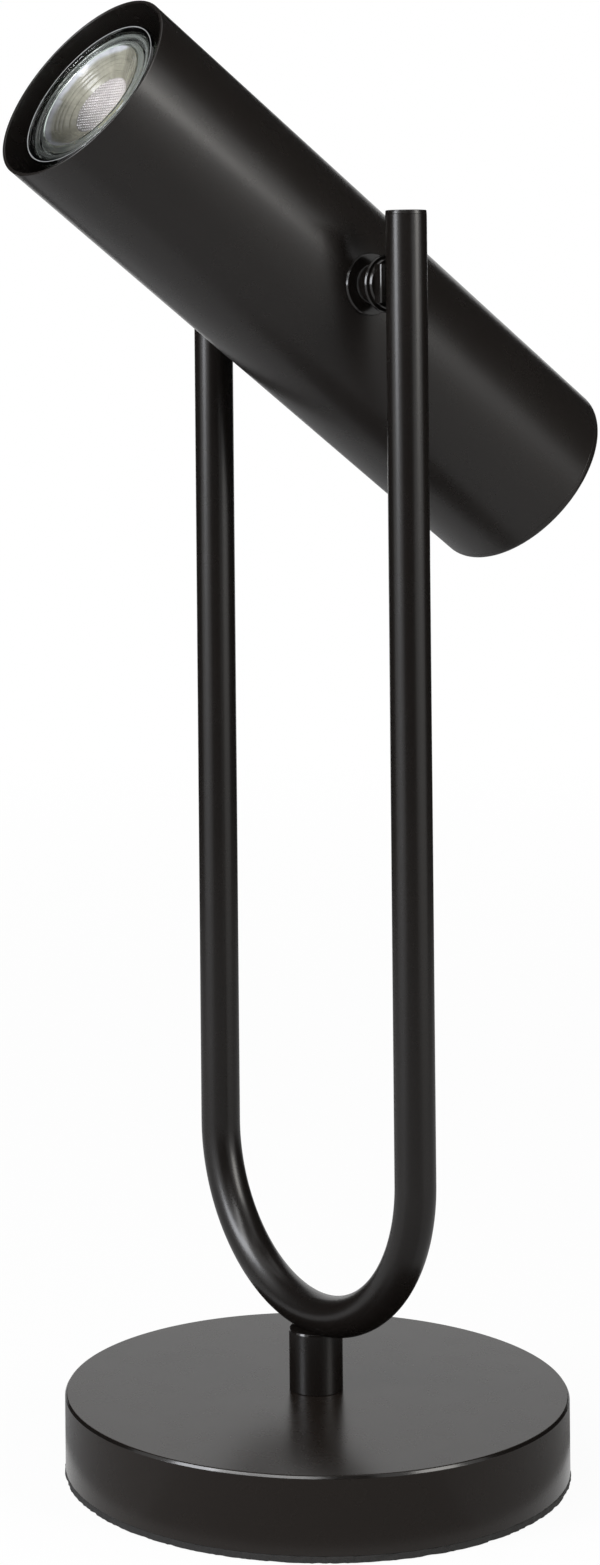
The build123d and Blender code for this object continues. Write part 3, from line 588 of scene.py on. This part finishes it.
def bowl_wall(name):
    """Wall of the lens's bowl: a pale, bluish painted highlight near its mouth, warm grey below a ragged
    border.

    At +X the border lies higher, so the painted highlight is narrower, and the wall has darker ribs, which
    are painted reflections. The barrel shades it as it does the lens."""
    mat, tree, shader = new_material(name)
    flow = streaks(tree, 1.6, 0.0, 220.0)
    ribs = streaks(tree, 12.0, 60.0, 60.0)
    cloud = streaks(tree, 4.0, 330.0, 330.0)
    axes = head_axes(tree)
    # Towards +X the painted highlight narrows and the painted rib reflections grow darker
    side = map_range(tree, axes["X"], 0.0, 0.5 * BOWL_RADIUS, 0.2, 1.0)
    height = calc(tree, "SUBTRACT", axes["Z"], lens_face - EYE_DEPTH)
    height = calc(tree, "DIVIDE", height, EYE_DEPTH)
    level = calc(tree, "ADD", height, spread(tree, flow, -0.06, 0.06))
    level = calc(tree, "SUBTRACT", level, calc(tree, "MULTIPLY", side, 0.3))
    # Painted highlight: pale and bluish near the bowl's mouth, over the wall's warm grey below
    wall_and_highlight = ramp(tree, level, (0.29, 0.285, 0.23), (0.5, 0.515, 0.55), 0.7, 0.82)
    deep = wall_and_highlight.color_ramp.elements.new(0.3)
    deep.color = (0.34, 0.33, 0.265, 1)
    # Painted reflections: dark ribs, darker towards +X, taken off the random cloudiness
    dark = calc(tree, "MULTIPLY", spread(tree, ribs, 0.75, 0.0), side)
    light = calc(tree, "SUBTRACT", spread(tree, cloud, 0.84, 1.16), dark)
    colour = barrel_shade(tree, scaled(tree, wall_and_highlight.outputs["Color"], light), LENS_SHADE)
    tree.links.new(colour, shader.inputs["Base Color"])
    gloss(tree, flow, shader, (0.12, 0.25))
    shader.inputs["Transmission Weight"].default_value = 0.25
    shader.inputs["IOR"].default_value = ACRYLIC
    bump(tree, cloud, shader, 0.4, 0.0003)
    return mat


coat = satin_coat("coat_black", (0.0052, 0.0041, 0.0035), (0.0068, 0.0054, 0.0046))
# The head's coat is a lighter copy of the black coat: painted light that brightens the head
head_coat_lightened = satin_coat("coat_head_lightened", (0.0092, 0.0077, 0.0068), (0.0112, 0.0095, 0.0085))
base_coat = satin_coat("coat_base", (0.0095, 0.0072, 0.0058), (0.0115, 0.009, 0.0074), gleam=0.22)
inside_coat = satin_coat(
    "coat_inside", (0.007, 0.0056, 0.0046), (0.0095, 0.0077, 0.0064), (0.45, 0.5), 1200.0, 0.00004
)
edge_coat = satin_coat("coat_edge", (0.0052, 0.0043, 0.0037), (0.0068, 0.0056, 0.0049), SMOOTH)
pivot_coat = satin_coat("coat_pivot", (0.005, 0.0042, 0.0037), (0.0065, 0.0055, 0.0049), SMOOTH)
foam = plastic("pad_foam", (0.006, 0.006, 0.006), (0.02, 0.019, 0.018), (0.85, 0.98), 1600.0, 0.0003)
rubber = plastic("bush_rubber", (0.012, 0.012, 0.012), (0.022, 0.021, 0.02), (0.55, 0.7), 700.0, 0.00005)
nylon = plastic("washer_nylon", (0.02, 0.02, 0.02), (0.035, 0.034, 0.033), (0.4, 0.5), 400.0)
zinc = metal("zinc_plate", (0.45, 0.45, 0.42), (0.62, 0.62, 0.6), (0.22, 0.36), 220.0)
iron = metal("cast_iron_skin", (0.09, 0.088, 0.085), (0.17, 0.165, 0.16), (0.5, 0.75), 320.0, depth=0.0002)
sheet_steel = metal(
    "sheet_steel", (0.42, 0.42, 0.4), (0.58, 0.58, 0.56), (0.3, 0.42), 180.0, (1.0, 0.08, 1.0)
)
brass = metal("turned_brass", (0.55, 0.4, 0.17), (0.72, 0.55, 0.27), (0.2, 0.35), 300.0)
tin = metal("tinned_brass", (0.5, 0.5, 0.46), (0.66, 0.66, 0.62), (0.25, 0.4), 260.0)
spreader = metal("cast_spreader", (0.5, 0.5, 0.49), (0.68, 0.68, 0.67), (0.35, 0.5), 240.0)
ceramic = plastic("holder_ceramic", (0.72, 0.7, 0.63), (0.84, 0.82, 0.76), (0.45, 0.6), 500.0, 0.00006)
block_plastic = plastic("block_plastic", (0.7, 0.69, 0.64), (0.8, 0.79, 0.75), (0.4, 0.55), 260.0)
sheath = plastic("lead_sheath", (0.014, 0.014, 0.014), (0.024, 0.024, 0.023), (0.45, 0.6), 350.0)
silicone = plastic("core_silicone", (0.72, 0.7, 0.64), (0.82, 0.8, 0.75), (0.4, 0.5), 300.0)
phosphor = plastic("led_phosphor", (0.78, 0.62, 0.12), (0.9, 0.78, 0.24), (0.5, 0.65), 500.0)
resist = plastic("board_resist", (0.78, 0.78, 0.75), (0.86, 0.86, 0.84), (0.3, 0.42), 260.0)
cap_plastic = plastic("cap_plastic", (0.78, 0.77, 0.74), (0.86, 0.85, 0.82), (0.25, 0.35), 200.0)
bulb_glass = clear(
    "bulb_glass", (0.84, 0.9, 0.87), (0.9, 0.94, 0.92), (0.02, 0.05), GLASS, 180.0, 0.00003
)
lens_clear = clear(
    "lens_clear", (0.8, 0.88, 0.85), (0.88, 0.93, 0.9), (0.02, 0.06), ACRYLIC, 260.0, 0.00004
)
lens_mirror = mirror_back("lens_mirror")
lens_frost = clear(
    "lens_frost", (0.32, 0.35, 0.33), (0.42, 0.45, 0.42), (0.1, 0.18), ACRYLIC, 260.0, 0.00004,
    0.7, LENS_SHADE
)
lens_eye = clear(
    "lens_eye", (0.38, 0.36, 0.35), (0.56, 0.52, 0.51), (0.06, 0.12), ACRYLIC, 160.0, 0.00004,
    0.3, EYE_SHADE
)
bead_frost = clear(
    "bead_frost", (0.34, 0.35, 0.35), (0.5, 0.51, 0.51), (0.08, 0.15), GLASS, 180.0, 0.00003, 0.4
)
lens_bowl = bowl_wall("lens_bowl")

# Materials of the nodes, under their names without left and right
NODE_MATERIALS = {
    "base_pad": foam,
    "base_plate": inside_coat,
    "base_plate_screws": zinc,
    "base_weight": iron,
    "base_cover": coat,
    "cable_grommet": rubber,
    "terminal_block": block_plastic,
    "terminal_inserts": brass,
    "terminal_screws": zinc,
    "terminal_block_screw": zinc,
    "earth_tag": tin,
    "earth_screw": zinc,
    "threaded_rod": zinc,
    "rod_nut": zinc,
    "lock_washer": zinc,
    "rod_washer": zinc,
    "neck_collar": coat,
    "u_frame": coat,
    "leg_cap": coat,
    "frame_lead": sheath,
    "pivot_saddle": pivot_coat,
    "pivot_small_washer": pivot_coat,
    "pivot_large_washer": pivot_coat,
    "pivot_spacer": pivot_coat,
    "friction_washer": nylon,
    "pivot_flange": pivot_coat,
    "pivot_stud": zinc,
    "spring_washer": zinc,
    "pivot_nut": zinc,
    "head_tube": coat,
    "head_rear_cap": coat,
    "holder_bracket": sheet_steel,
    "lamp_holder": ceramic,
    "holder_contacts": brass,
    "holder_screws": zinc,
    "head_lead": sheath,
    "holder_leads": silicone,
    "bulb_shell": bulb_glass,
    "bulb_lens": lens_clear,
    "led_chip": phosphor,
    "led_board": resist,
    "bulb_core": spreader,
    "bulb_base": cap_plastic,
    "bulb_pins": zinc,
}

for name, node in frame["nodes"].items():
    node.data.materials.clear()
    node.data.materials.append(NODE_MATERIALS[name.removesuffix("_left").removesuffix("_right")])


def add(piece, material, body, slot, *nodes):
    """Gives a piece its material and its body, and hides the nodes that it stands for; its slot is not used.
    """
    if piece.data.materials:
        piece.data.materials[0] = material
    else:
        piece.data.materials.append(material)
    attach(piece, body)
    if nodes:
        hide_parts(*nodes)


# Base


def make_cover():
    """Pressed cover: its top edge is a small fillet with a leaning facet under it."""
    low, high = cover_low.z, cover_high.z
    inside = cover_radius - COVER_WALL
    lean = 0.4 * MM
    drop = (lean + COVER_EDGE) * math.tan(math.radians(EDGE_LEAN))
    corners = [
        (COVER_HOLE, high, 0),
        (cover_radius - drop, high, COVER_EDGE),
        (cover_radius, high - COVER_EDGE - lean, 0.2 * MM),
        (cover_radius, low, 0.15 * MM),
        (inside, low, 0.15 * MM),
        (inside, high - COVER_WALL, 0.8 * MM),
        (COVER_HOLE, high - COVER_WALL, 0),
    ]
    skin = lathe("cover_skin", corners, segments=LARGE_ROUND, steps=8)
    inlet = bar("inlet_tool", INLET_HOLE, cover_radius * 0.6, cover_radius * 1.2, along_y)
    inlet.data.transform(Matrix.Translation((0, 0, inlet_height)))
    cut(skin, inlet)
    return skin


def on_rim(centre, normal):
    """The leaning facet under the cover's top edge."""
    near_top = centre.z > cover_high.z - 1.3 * MM
    outside = math.hypot(centre.x, centre.y) > 0.98 * cover_radius
    return near_top and outside and 0.15 < normal.z < 0.75


def foam_wobble(r, z, a):
    """Torn edge of the foam, inside its nominal radius: long tears and short ones."""
    if r < pad_radius * 0.9:
        return 0.0
    long = Vector((math.cos(a) * 24, math.sin(a) * 24, z * 400))
    short = Vector((math.cos(a) * 70, math.sin(a) * 70, z * 900))
    return -(abs(noise.noise(long)) * 0.9 + abs(noise.noise(short)) * 0.5) * 0.8 * MM - 0.03 * MM


def make_pad():
    top, low = pad_high.z, pad_low.z
    corners = [(0, top, 0), (pad_radius, top, 0.3 * MM), (pad_radius, low, 0.4 * MM), (0, low, 0)]
    return lathe("foam_pad", corners, None, PAD_ROUND, SHARP_LARGE, 4, foam_wobble)


def make_grommet():
    """Bush with a flange outside the cover and a lip inside."""
    bore = 3.2 * MM
    lip, neck, flange = 5.5 * MM, 4.45 * MM, grommet_high.x
    start, end = grommet_low.y, grommet_high.y
    rim = 1.5 * MM
    corners = [
        (bore, start, 0.3 * MM),
        (lip, start, 0.3 * MM),
        (lip, start + rim, 0.1 * MM),
        (neck, start + rim, 0),
        (neck, end - rim, 0),
        (flange, end - rim, 0.15 * MM),
        (flange, end, 0.6 * MM),
        (bore, end, 0.5 * MM),
    ]
    bush = lathe("inlet_bush", corners, along_y)
    bush.data.transform(Matrix.Translation((0, 0, inlet_height)))
    return bush


cover = make_cover()
add(cover, base_coat, "stand", "black_coat", "base_cover")
edge_faces(cover, edge_coat, on_rim)
add(make_pad(), foam, "stand", "pad_foam", "base_pad")
add(make_grommet(), rubber, "stand", "black_rubber", "cable_grommet")

# Neck and frame


def make_collar():
    """Neck with a leaning top edge and a saddle cut by the tube."""
    corners = [
        (NECK_BORE, collar_low.z, 0),
        (collar_radius, collar_low.z, 0.2 * MM),
        (collar_radius, collar_high.z - 0.6 * MM, 0.1 * MM),
        (collar_radius - 0.2 * MM, collar_high.z, 0.1 * MM),
        (NECK_BORE, collar_high.z, 0),
    ]
    sleeve = lathe("neck_sleeve", corners, segments=RING_ROUND)
    cut(sleeve, bent_tube("saddle_tool", [tube_radius + BRAZE_GAP], SMALL_ROUND))
    return sleeve


def on_collar_edge(centre, normal):
    """The leaning top edge of the neck."""
    return centre.z > collar_high.z - 0.75 * MM and 0.1 < normal.z < 0.9


def make_leg_cap(name, side):
    """Plug in a leg's top, with a fine step where it meets the tube."""
    plug = tube_radius - TUBE_WALL - SEAT_GAP
    corners = [
        (0, tube_top - PLUG_DEPTH, 0),
        (plug, tube_top - PLUG_DEPTH, 0.3 * MM),
        (plug, tube_top, 0),
        (tube_radius - 0.1 * MM, tube_top, 0.03 * MM),
        (tube_radius - 0.02 * MM, tube_top + 0.12 * MM, 0.03 * MM),
        (tube_radius - 0.12 * MM, cap_high.z, 0.25 * MM),
        (0, cap_high.z, 0),
    ]
    place = Matrix.Translation((side * leg_x, 0, 0))
    return lathe(name, corners, place, sharp=SHARP_SMALL)


collar = make_collar()
add(collar, coat, "stand", "black_coat", "neck_collar")
edge_faces(collar, edge_coat, on_collar_edge)
tube = bent_tube("frame_tube", [tube_radius, tube_radius - TUBE_WALL])
add(tube, coat, "stand", "black_coat", "u_frame")

# Pivots

# Rings on the studs, and the nodes that they stand for
RINGS = {
    "thin_ring_": "pivot_small_washer_",
    "wide_ring_": "pivot_large_washer_",
    "sleeve_": "pivot_spacer_",
}


def make_disc(name, bore, place):
    """Disc whose back is cut to the head's curve."""
    radius, front = flange_high.y, flange_high.x
    corners = [
        (bore, DISC_BACK, 0),
        (radius, DISC_BACK, 0),
        (radius, front - 0.62 * MM, 0.05 * MM),
        (radius - 0.25 * MM, front, 0.12 * MM),
        (bore, front, 0.1 * MM),
    ]
    disc = lathe(name, corners, place, RING_ROUND)
    half = 60 * MM
    cut(disc, bar("head_tool", HEAD_RADIUS + BRAZE_GAP, -half, half, head_place, LARGE_ROUND))
    return disc


def make_saddle(name, side, place):
    """Block cut to the leg's curve, with the stud's hole."""
    saddle = saddle_block(name)
    if side < 0:
        saddle.data.transform(mirror_x)
        saddle.data.flip_normals()
    leg_place = Matrix.Translation((side * leg_x, 0, 0))
    half = 30 * MM
    leg_tool = bar("leg_tool", tube_radius + BRAZE_GAP, pivot.z - half, pivot.z + half, leg_place)
    stud_tool = bar("stud_tool", stud_radius + THREAD_GAP, 30 * MM, 50 * MM, place)
    cut(saddle, leg_tool, stud_tool)
    return saddle


for side_name, side in (("left", -1), ("right", 1)):
    plug = make_leg_cap("leg_plug_" + side_name, side)
    add(plug, coat, "stand", "black_coat", "leg_cap_" + side_name)
    turn = Matrix.Identity(4) if side > 0 else mirror_x
    place = Matrix.Translation(pivot) @ turn @ along_x
    bore = stud_radius + SEAT_GAP
    for ring_name, node_name in RINGS.items():
        low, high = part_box(node_name + "right")
        ring = washer(ring_name + side_name, high.y, bore, low.x, high.x, place)
        add(ring, pivot_coat, "stand", "black_coat", node_name + side_name)
    disc = make_disc("boss_disc_" + side_name, bore, place)
    add(disc, pivot_coat, "head", "black_coat", "pivot_flange_" + side_name)
    saddle = make_saddle("leg_saddle_" + side_name, side, place)
    add(saddle, pivot_coat, "stand", "black_coat", "pivot_saddle_" + side_name)

# Head


def make_head():
    """Barrel with a rounded mouth and the studs' holes."""
    inside = HEAD_RADIUS - HEAD_WALL
    corners = [
        (inside, head_back, 0),
        (HEAD_RADIUS, head_back, 0.08 * MM),
        (HEAD_RADIUS, mouth, 0.35 * MM),
        (inside, mouth, 0.35 * MM),
    ]
    barrel = lathe("head_barrel", corners, head_place, LARGE_ROUND)
    half = 40 * MM
    stud_place = Matrix.Translation(pivot) @ along_x
    cut(barrel, bar("stud_tool", stud_radius + SEAT_GAP, -half, half, stud_place))
    return barrel


def make_rear_cap():
    """Lid with a spigot that fits into the barrel."""
    spigot = HEAD_RADIUS - HEAD_WALL - SEAT_GAP
    inside = spigot - 1.5 * MM
    corners = [
        (0, cap_back, 0),
        (HEAD_RADIUS, cap_back, REAR_EDGE),
        (HEAD_RADIUS, head_back, 0.08 * MM),
        (spigot, head_back, 0),
        (spigot, head_back + SPIGOT_DEPTH, 0.3 * MM),
        (inside, head_back + SPIGOT_DEPTH, 0.3 * MM),
        (inside, head_back, 0.3 * MM),
        (0, head_back, 0),
    ]
    return lathe("rear_lid", corners, head_place, LARGE_ROUND, SHARP_LARGE, 8)


add(make_head(), head_coat_lightened, "head", "black_coat", "head_tube")
add(make_rear_cap(), head_coat_lightened, "head", "black_coat", "head_rear_cap")

# Reflector lamp


def make_shell():
    """Clear body: a bead round the face, a short band and a belly that narrows to the cap."""
    shoulder = bulb_face - SHELL_BAND
    steps = 16
    outside = []
    inside = []
    for k in range(steps + 1):
        t = k / steps
        swell = math.sin(math.pi * t)
        z = shoulder + (bulb_back - shoulder) * t
        belly = SHELL_RIM + (SHELL_WAIST - SHELL_RIM) * t ** 1.55 + swell * 0.4 * MM
        r = min(SHELL_RIM, belly)
        outside.append((r, z, 0))
        inside.append((r - SHELL_WALL, z, 0))
    corners = [
        (FACE_RADIUS - SHELL_WALL, bulb_face - 0.7 * MM, 0.1 * MM),
        (BEAD_RADIUS, bulb_face - 0.6 * MM, 0.1 * MM),
        (BEAD_RADIUS + 0.25 * MM, bulb_face, 0.12 * MM),
        (BEAD_RADIUS + BEAD_WIDTH, bulb_face, 0.12 * MM),
        (SHELL_RIM, bulb_face - 0.7 * MM, 0.2 * MM),
    ]
    corners += outside + inside[::-1]
    corners += [(FACE_RADIUS - SHELL_WALL, bulb_face - 1.6 * MM, 0.2 * MM)]
    return lathe("lamp_bowl", corners, head_place, LAMP_ROUND, SHARP_LARGE)


def on_bead(centre, normal):
    """The raised bead round the shell's face."""
    along = (centre - pivot).dot(beam)
    radius = (centre - pivot - along * beam).length
    return BEAD_RADIUS < radius < BEAD_RADIUS + BEAD_WIDTH and along > bulb_face - 0.3 * MM


def dome(x, y):
    """Height of a field of small domes on a hexagonal grid."""
    rows = DOME_PITCH * math.sqrt(3) / 2
    row = round(y / rows)
    best = DOME_PITCH
    for near in (row - 1, row, row + 1):
        offset = 0.5 * DOME_PITCH * (near % 2)
        column = round((x - offset) / DOME_PITCH)
        best = min(best, math.hypot(x - offset - column * DOME_PITCH, y - near * rows))
    return DOME_HEIGHT * (1 - min(1.0, best / DOME_RADIUS) ** 2)


def lens_outline(top, floor):
    """The lens's front from its edge to its floor, and its back from the tip to the edge."""
    slope = (BOWL_RADIUS - EYE_RADIUS) / EYE_DEPTH
    front = [
        (LENS_RADIUS, top - LENS_EDGE, 0.15 * MM),
        (LENS_RADIUS, top - 1.0 * MM, 0.1 * MM),
        (22.4 * MM, top - 0.9 * MM, 0.15 * MM),
        (RIDGE_OUT, top, 0.3 * MM),
        (RIDGE_IN, top, 0.3 * MM),
        (GROOVE_OUT, top - 0.8 * MM, 0.2 * MM),
        (GROOVE_IN, top - 0.8 * MM, 0.2 * MM),
        (LIP_FOOT, top - 0.35 * MM, 0.15 * MM),
        (BOWL_RADIUS + 0.7 * MM, top, 0.1 * MM),
        (BOWL_RADIUS + 0.5 * MM, top - 0.5 * MM, 0.08 * MM),
        (BOWL_RADIUS + 0.2 * MM, top - 0.5 * MM, 0.08 * MM),
        (BOWL_RADIUS, top, 0.1 * MM),
    ]
    for depth, cut_in in BOWL_GROOVES:
        r = BOWL_RADIUS - slope * depth * MM
        front.append((r, top - depth * MM, 0.03 * MM))
        front.append((r - cut_in * MM, top - (depth + 0.15) * MM, 0.03 * MM))
        front.append((r - slope * 0.3 * MM, top - (depth + 0.3) * MM, 0.03 * MM))
    front.append((EYE_RADIUS, floor, 0.3 * MM))
    back = [
        (0.5 * EYE_RADIUS, floor, 0),
        (0, floor, 0),
        (0, lens_tip, 0),
        (LENS_TIP, lens_tip, 0.1 * MM),
        (LENS_BODY, top - LENS_EDGE, 0.2 * MM),
    ]
    open_front = []
    open_back = []
    target = open_front
    for r, z in rounded(front + back, 5):
        if abs(z - floor) < 1e-7 and r < 0.6 * EYE_RADIUS:
            target = open_back
            continue
        target.append((r, z))
    return open_front, [point for point in open_back if point[0] > 1e-6]


def front_zone(r):
    """Which material a place on the lens's front has."""
    if r > BOWL_RADIUS:
        ridge = RIDGE_IN - 0.2 * MM < r < RIDGE_OUT + 0.15 * MM
        lip = BOWL_RADIUS + 0.65 * MM < r < LIP_FOOT + 0.2 * MM
        return FROST if ridge or lip else CLEAR
    return BOWL if r > EYE_RADIUS - 0.2 * MM else EYE


def make_lens():
    """Moulded lens: ridge, groove and slanted lip, a bowl with a dotted floor, and a mirrored cone behind."""
    top = lens_face
    floor = top - EYE_DEPTH
    front, back = lens_outline(top, floor)
    bm = bmesh.new()

    def ring(r, z, domed=False):
        verts = []
        for j in range(LENS_ROUND):
            a = 2 * math.pi * j / LENS_ROUND
            x, y = r * math.cos(a), r * math.sin(a)
            verts.append(bm.verts.new((x, y, z + (dome(x, y) if domed else 0.0))))
        return verts

    def skirt(first, second, index):
        for j in range(LENS_ROUND):
            k = (j + 1) % LENS_ROUND
            bm.faces.new((first[j], first[k], second[k], second[j])).material_index = index

    limit = front[-1][0]
    steps = 64
    eye = [(limit * (1 - i / steps) * 0.985, floor) for i in range(1, steps)]
    rings = [ring(r, z) for r, z in front] + [ring(r, z, True) for r, z in eye]
    radii = [r for r, z in front + eye]
    for i, (first, second) in enumerate(zip(rings, rings[1:])):
        skirt(first, second, front_zone((radii[i] + radii[i + 1]) / 2))
    middle = bm.verts.new((0, 0, floor + dome(0, 0)))
    for j in range(LENS_ROUND):
        bm.faces.new((rings[-1][j], rings[-1][(j + 1) % LENS_ROUND], middle)).material_index = EYE
    tip = bm.verts.new((0, 0, lens_tip))
    behind = [ring(r, z) for r, z in back]
    for j in range(LENS_ROUND):
        bm.faces.new((tip, behind[0][j], behind[0][(j + 1) % LENS_ROUND])).material_index = CLEAR
    for i, (first, second) in enumerate(zip(behind, behind[1:])):
        ends = back[i][1], back[i + 1][1]
        cone = min(ends) < top - LENS_EDGE - 0.1 * MM
        level = abs(ends[0] - ends[1]) < 0.01 * MM
        skirt(first, second, MIRROR if cone and not level else CLEAR)
    skirt(behind[-1], rings[0], CLEAR)
    return finish_mesh("lens_moulding", bm, head_place, SHARP_LARGE)


shell = make_shell()
add(shell, bulb_glass, "bulb", "bulb_clear", "bulb_shell")
edge_faces(shell, bead_frost, on_bead)
lens = make_lens()
add(lens, lens_clear, "bulb", "bulb_optic", "bulb_lens")
for extra in (lens_mirror, lens_frost, lens_bowl, lens_eye):
    lens.data.materials.append(extra)

# Camera as fitted to the photograph; its upright shift keeps the upright lines parallel

camera_data = bpy.data.cameras.new("camera")
camera_data.lens = 74.85
camera_data.sensor_width = 36.0
camera_data.shift_x = 0.1022
camera_data.shift_y = -0.3115
camera = bpy.data.objects.new("camera", camera_data)
camera.location = (0.7792, -0.5875, 0.3410)
camera.rotation_euler = (math.radians(90.57), math.radians(0.51), math.radians(55.91))
bpy.context.scene.collection.objects.link(camera)
bpy.context.scene.camera = camera

# Floor, world, cards and lamps


def camera_like(tree):
    """1 for rays from the camera and for reflected and refracted ones, which all see the white background."""
    path = tree.nodes.new("ShaderNodeLightPath")
    first = calc(tree, "MAXIMUM", path.outputs["Is Camera Ray"], path.outputs["Is Glossy Ray"])
    return calc(tree, "MAXIMUM", first, path.outputs["Is Transmission Ray"])


def mix_out(tree, out, share, plain, seen):
    """Sends two shaders, mixed by a share, to an output."""
    mix = tree.nodes.new("ShaderNodeMixShader")
    tree.links.new(share, mix.inputs["Fac"])
    tree.links.new(plain, mix.inputs[1])
    tree.links.new(seen, mix.inputs[2])
    tree.links.new(mix.outputs["Shader"], out.inputs["Surface"])


def make_floor():
    """Pale floor that takes shadow close to the lamp and turns plain white further out."""
    bm = bmesh.new()
    bmesh.ops.create_grid(bm, x_segments=8, y_segments=8, size=14.0)
    floor = finish_mesh("floor", bm, Matrix.Translation((0, 0, -0.0002)))
    mat, tree = new_material("floor_white")[:2]
    tree.nodes.clear()
    out = tree.nodes.new("ShaderNodeOutputMaterial")
    colour = ramp(tree, noise_in(tree, 3.0, 2.0), (0.8, 0.8, 0.8), (0.83, 0.83, 0.83))
    diffuse = tree.nodes.new("ShaderNodeBsdfDiffuse")
    tree.links.new(colour.outputs["Color"], diffuse.inputs["Color"])
    glow = tree.nodes.new("ShaderNodeEmission")
    glow.inputs["Strength"].default_value = 1.0
    away = tree.nodes.new("ShaderNodeVectorMath")
    away.operation = "LENGTH"
    tree.links.new(place_in(tree), away.inputs[0])
    fade = map_range(tree, away.outputs["Value"], 0.3, 1.6, 0.95, 1.0)
    share = calc(tree, "MULTIPLY", camera_like(tree), fade)
    mix_out(tree, out, share, diffuse.outputs["BSDF"], glow.outputs["Emission"])
    floor.data.materials.append(mat)


def background(tree, strength):
    """White background light."""
    node = tree.nodes.new("ShaderNodeBackground")
    node.inputs["Color"].default_value = (1, 1, 1, 1)
    node.inputs["Strength"].default_value = strength
    return node.outputs["Background"]


def make_world():
    """White where it is seen, and a dim white for its light."""
    world = bpy.data.worlds.new("studio")
    bpy.context.scene.world = world
    world.use_nodes = True
    tree = world.node_tree
    tree.nodes.clear()
    out = tree.nodes.new("ShaderNodeOutputWorld")
    mix_out(tree, out, camera_like(tree), background(tree, 0.3), background(tree, 1.0))


def card_stock(name, dark, light, gleam=0.5):
    """Dull card between two greys."""
    mat, tree, shader = new_material(name)
    tint(tree, noise_in(tree, 6.0, 2.0), shader, (dark,) * 3, (light,) * 3)
    shader.inputs["Roughness"].default_value = 0.9
    shader.inputs["Specular IOR Level"].default_value = gleam
    return mat


def make_card(name, mat, start, end, steps, first, second):
    """Card that only reflections see, between two azimuths in degrees and two (distance, height) edges."""
    bm = bmesh.new()
    rows = []
    for k in range(steps + 1):
        a = math.radians(start + (end - start) * k / steps)
        rows.append([bm.verts.new((r * math.cos(a), r * math.sin(a), z)) for r, z in (first, second)])
    for row, after in zip(rows, rows[1:]):
        bm.faces.new((row[0], after[0], after[1], row[1]))
    card = finish_mesh(name, bm)
    card.data.materials.append(mat)
    card.visible_camera = False
    card.visible_diffuse = False
    card.visible_transmission = False
    card.visible_shadow = False


def softbox(name, place, aim, width, height, watts, colour):
    """Rectangular soft lamp that faces a point."""
    data = bpy.data.lights.new(name, "AREA")
    data.shape = "RECTANGLE"
    data.size = width
    data.size_y = height
    data.energy = watts
    data.color = colour
    lamp = bpy.data.objects.new(name, data)
    lamp.location = place
    lamp.rotation_euler = (Vector(aim) - Vector(place)).to_track_quat("-Z", "Y").to_euler()
    bpy.context.scene.collection.objects.link(lamp)


# Black cards round the set: azimuths in degrees, and lower and upper heights
FLAGS = ((-70, -8, 0.0, 2.0), (46, 121, 0.0, 2.0), (165, 232, 0.0, 2.0), (121, 165, 0.6, 2.0))
FLAG_DISTANCE = 0.85
FLAG_STEPS = 8

# Grey cards on the floor, from beside the base outwards: azimuths in degrees, and their grey
FLOOR_CARDS = ((-192, -85, 0.5), (-85, 5, 0.32), (5, 168, 0.5))
CARD_NEAR, CARD_FAR, CARD_HEIGHT = 0.085, 1.6, 0.0005
CARD_STEPS = 32

make_floor()
make_world()
black_card = card_stock("flag_black", 0.01, 0.02, 0.1)
for i, (start, end, low, high) in enumerate(FLAGS):
    edges = (FLAG_DISTANCE, low), (FLAG_DISTANCE, high)
    make_card("flag_%d" % i, black_card, start, end, FLAG_STEPS, *edges)
for start, end, grey in FLOOR_CARDS:
    grey_card = card_stock("card_grey_%d" % start, grey, grey + 0.04)
    edges = (CARD_FAR, CARD_HEIGHT), (CARD_NEAR, CARD_HEIGHT)
    make_card("floor_card_%d" % start, grey_card, start, end, CARD_STEPS, *edges)
softbox("left_box", (-0.24, -1.7, 0.88), (0, 0, 0.35), 0.6, 1.15, 28, (0.93, 0.95, 1.0))
softbox("right_box", (1.55, 0.65, 0.9), (0, 0, 0.35), 0.6, 1.1, 16, (1.0, 0.98, 0.94))
softbox("front_strip", (0.4, -0.69, 0.82), (0, 0, 0.05), 1.0, 0.16, 5, (1.0, 1.0, 1.0))

view_settings = bpy.context.scene.view_settings
view_settings.view_transform = "Standard"
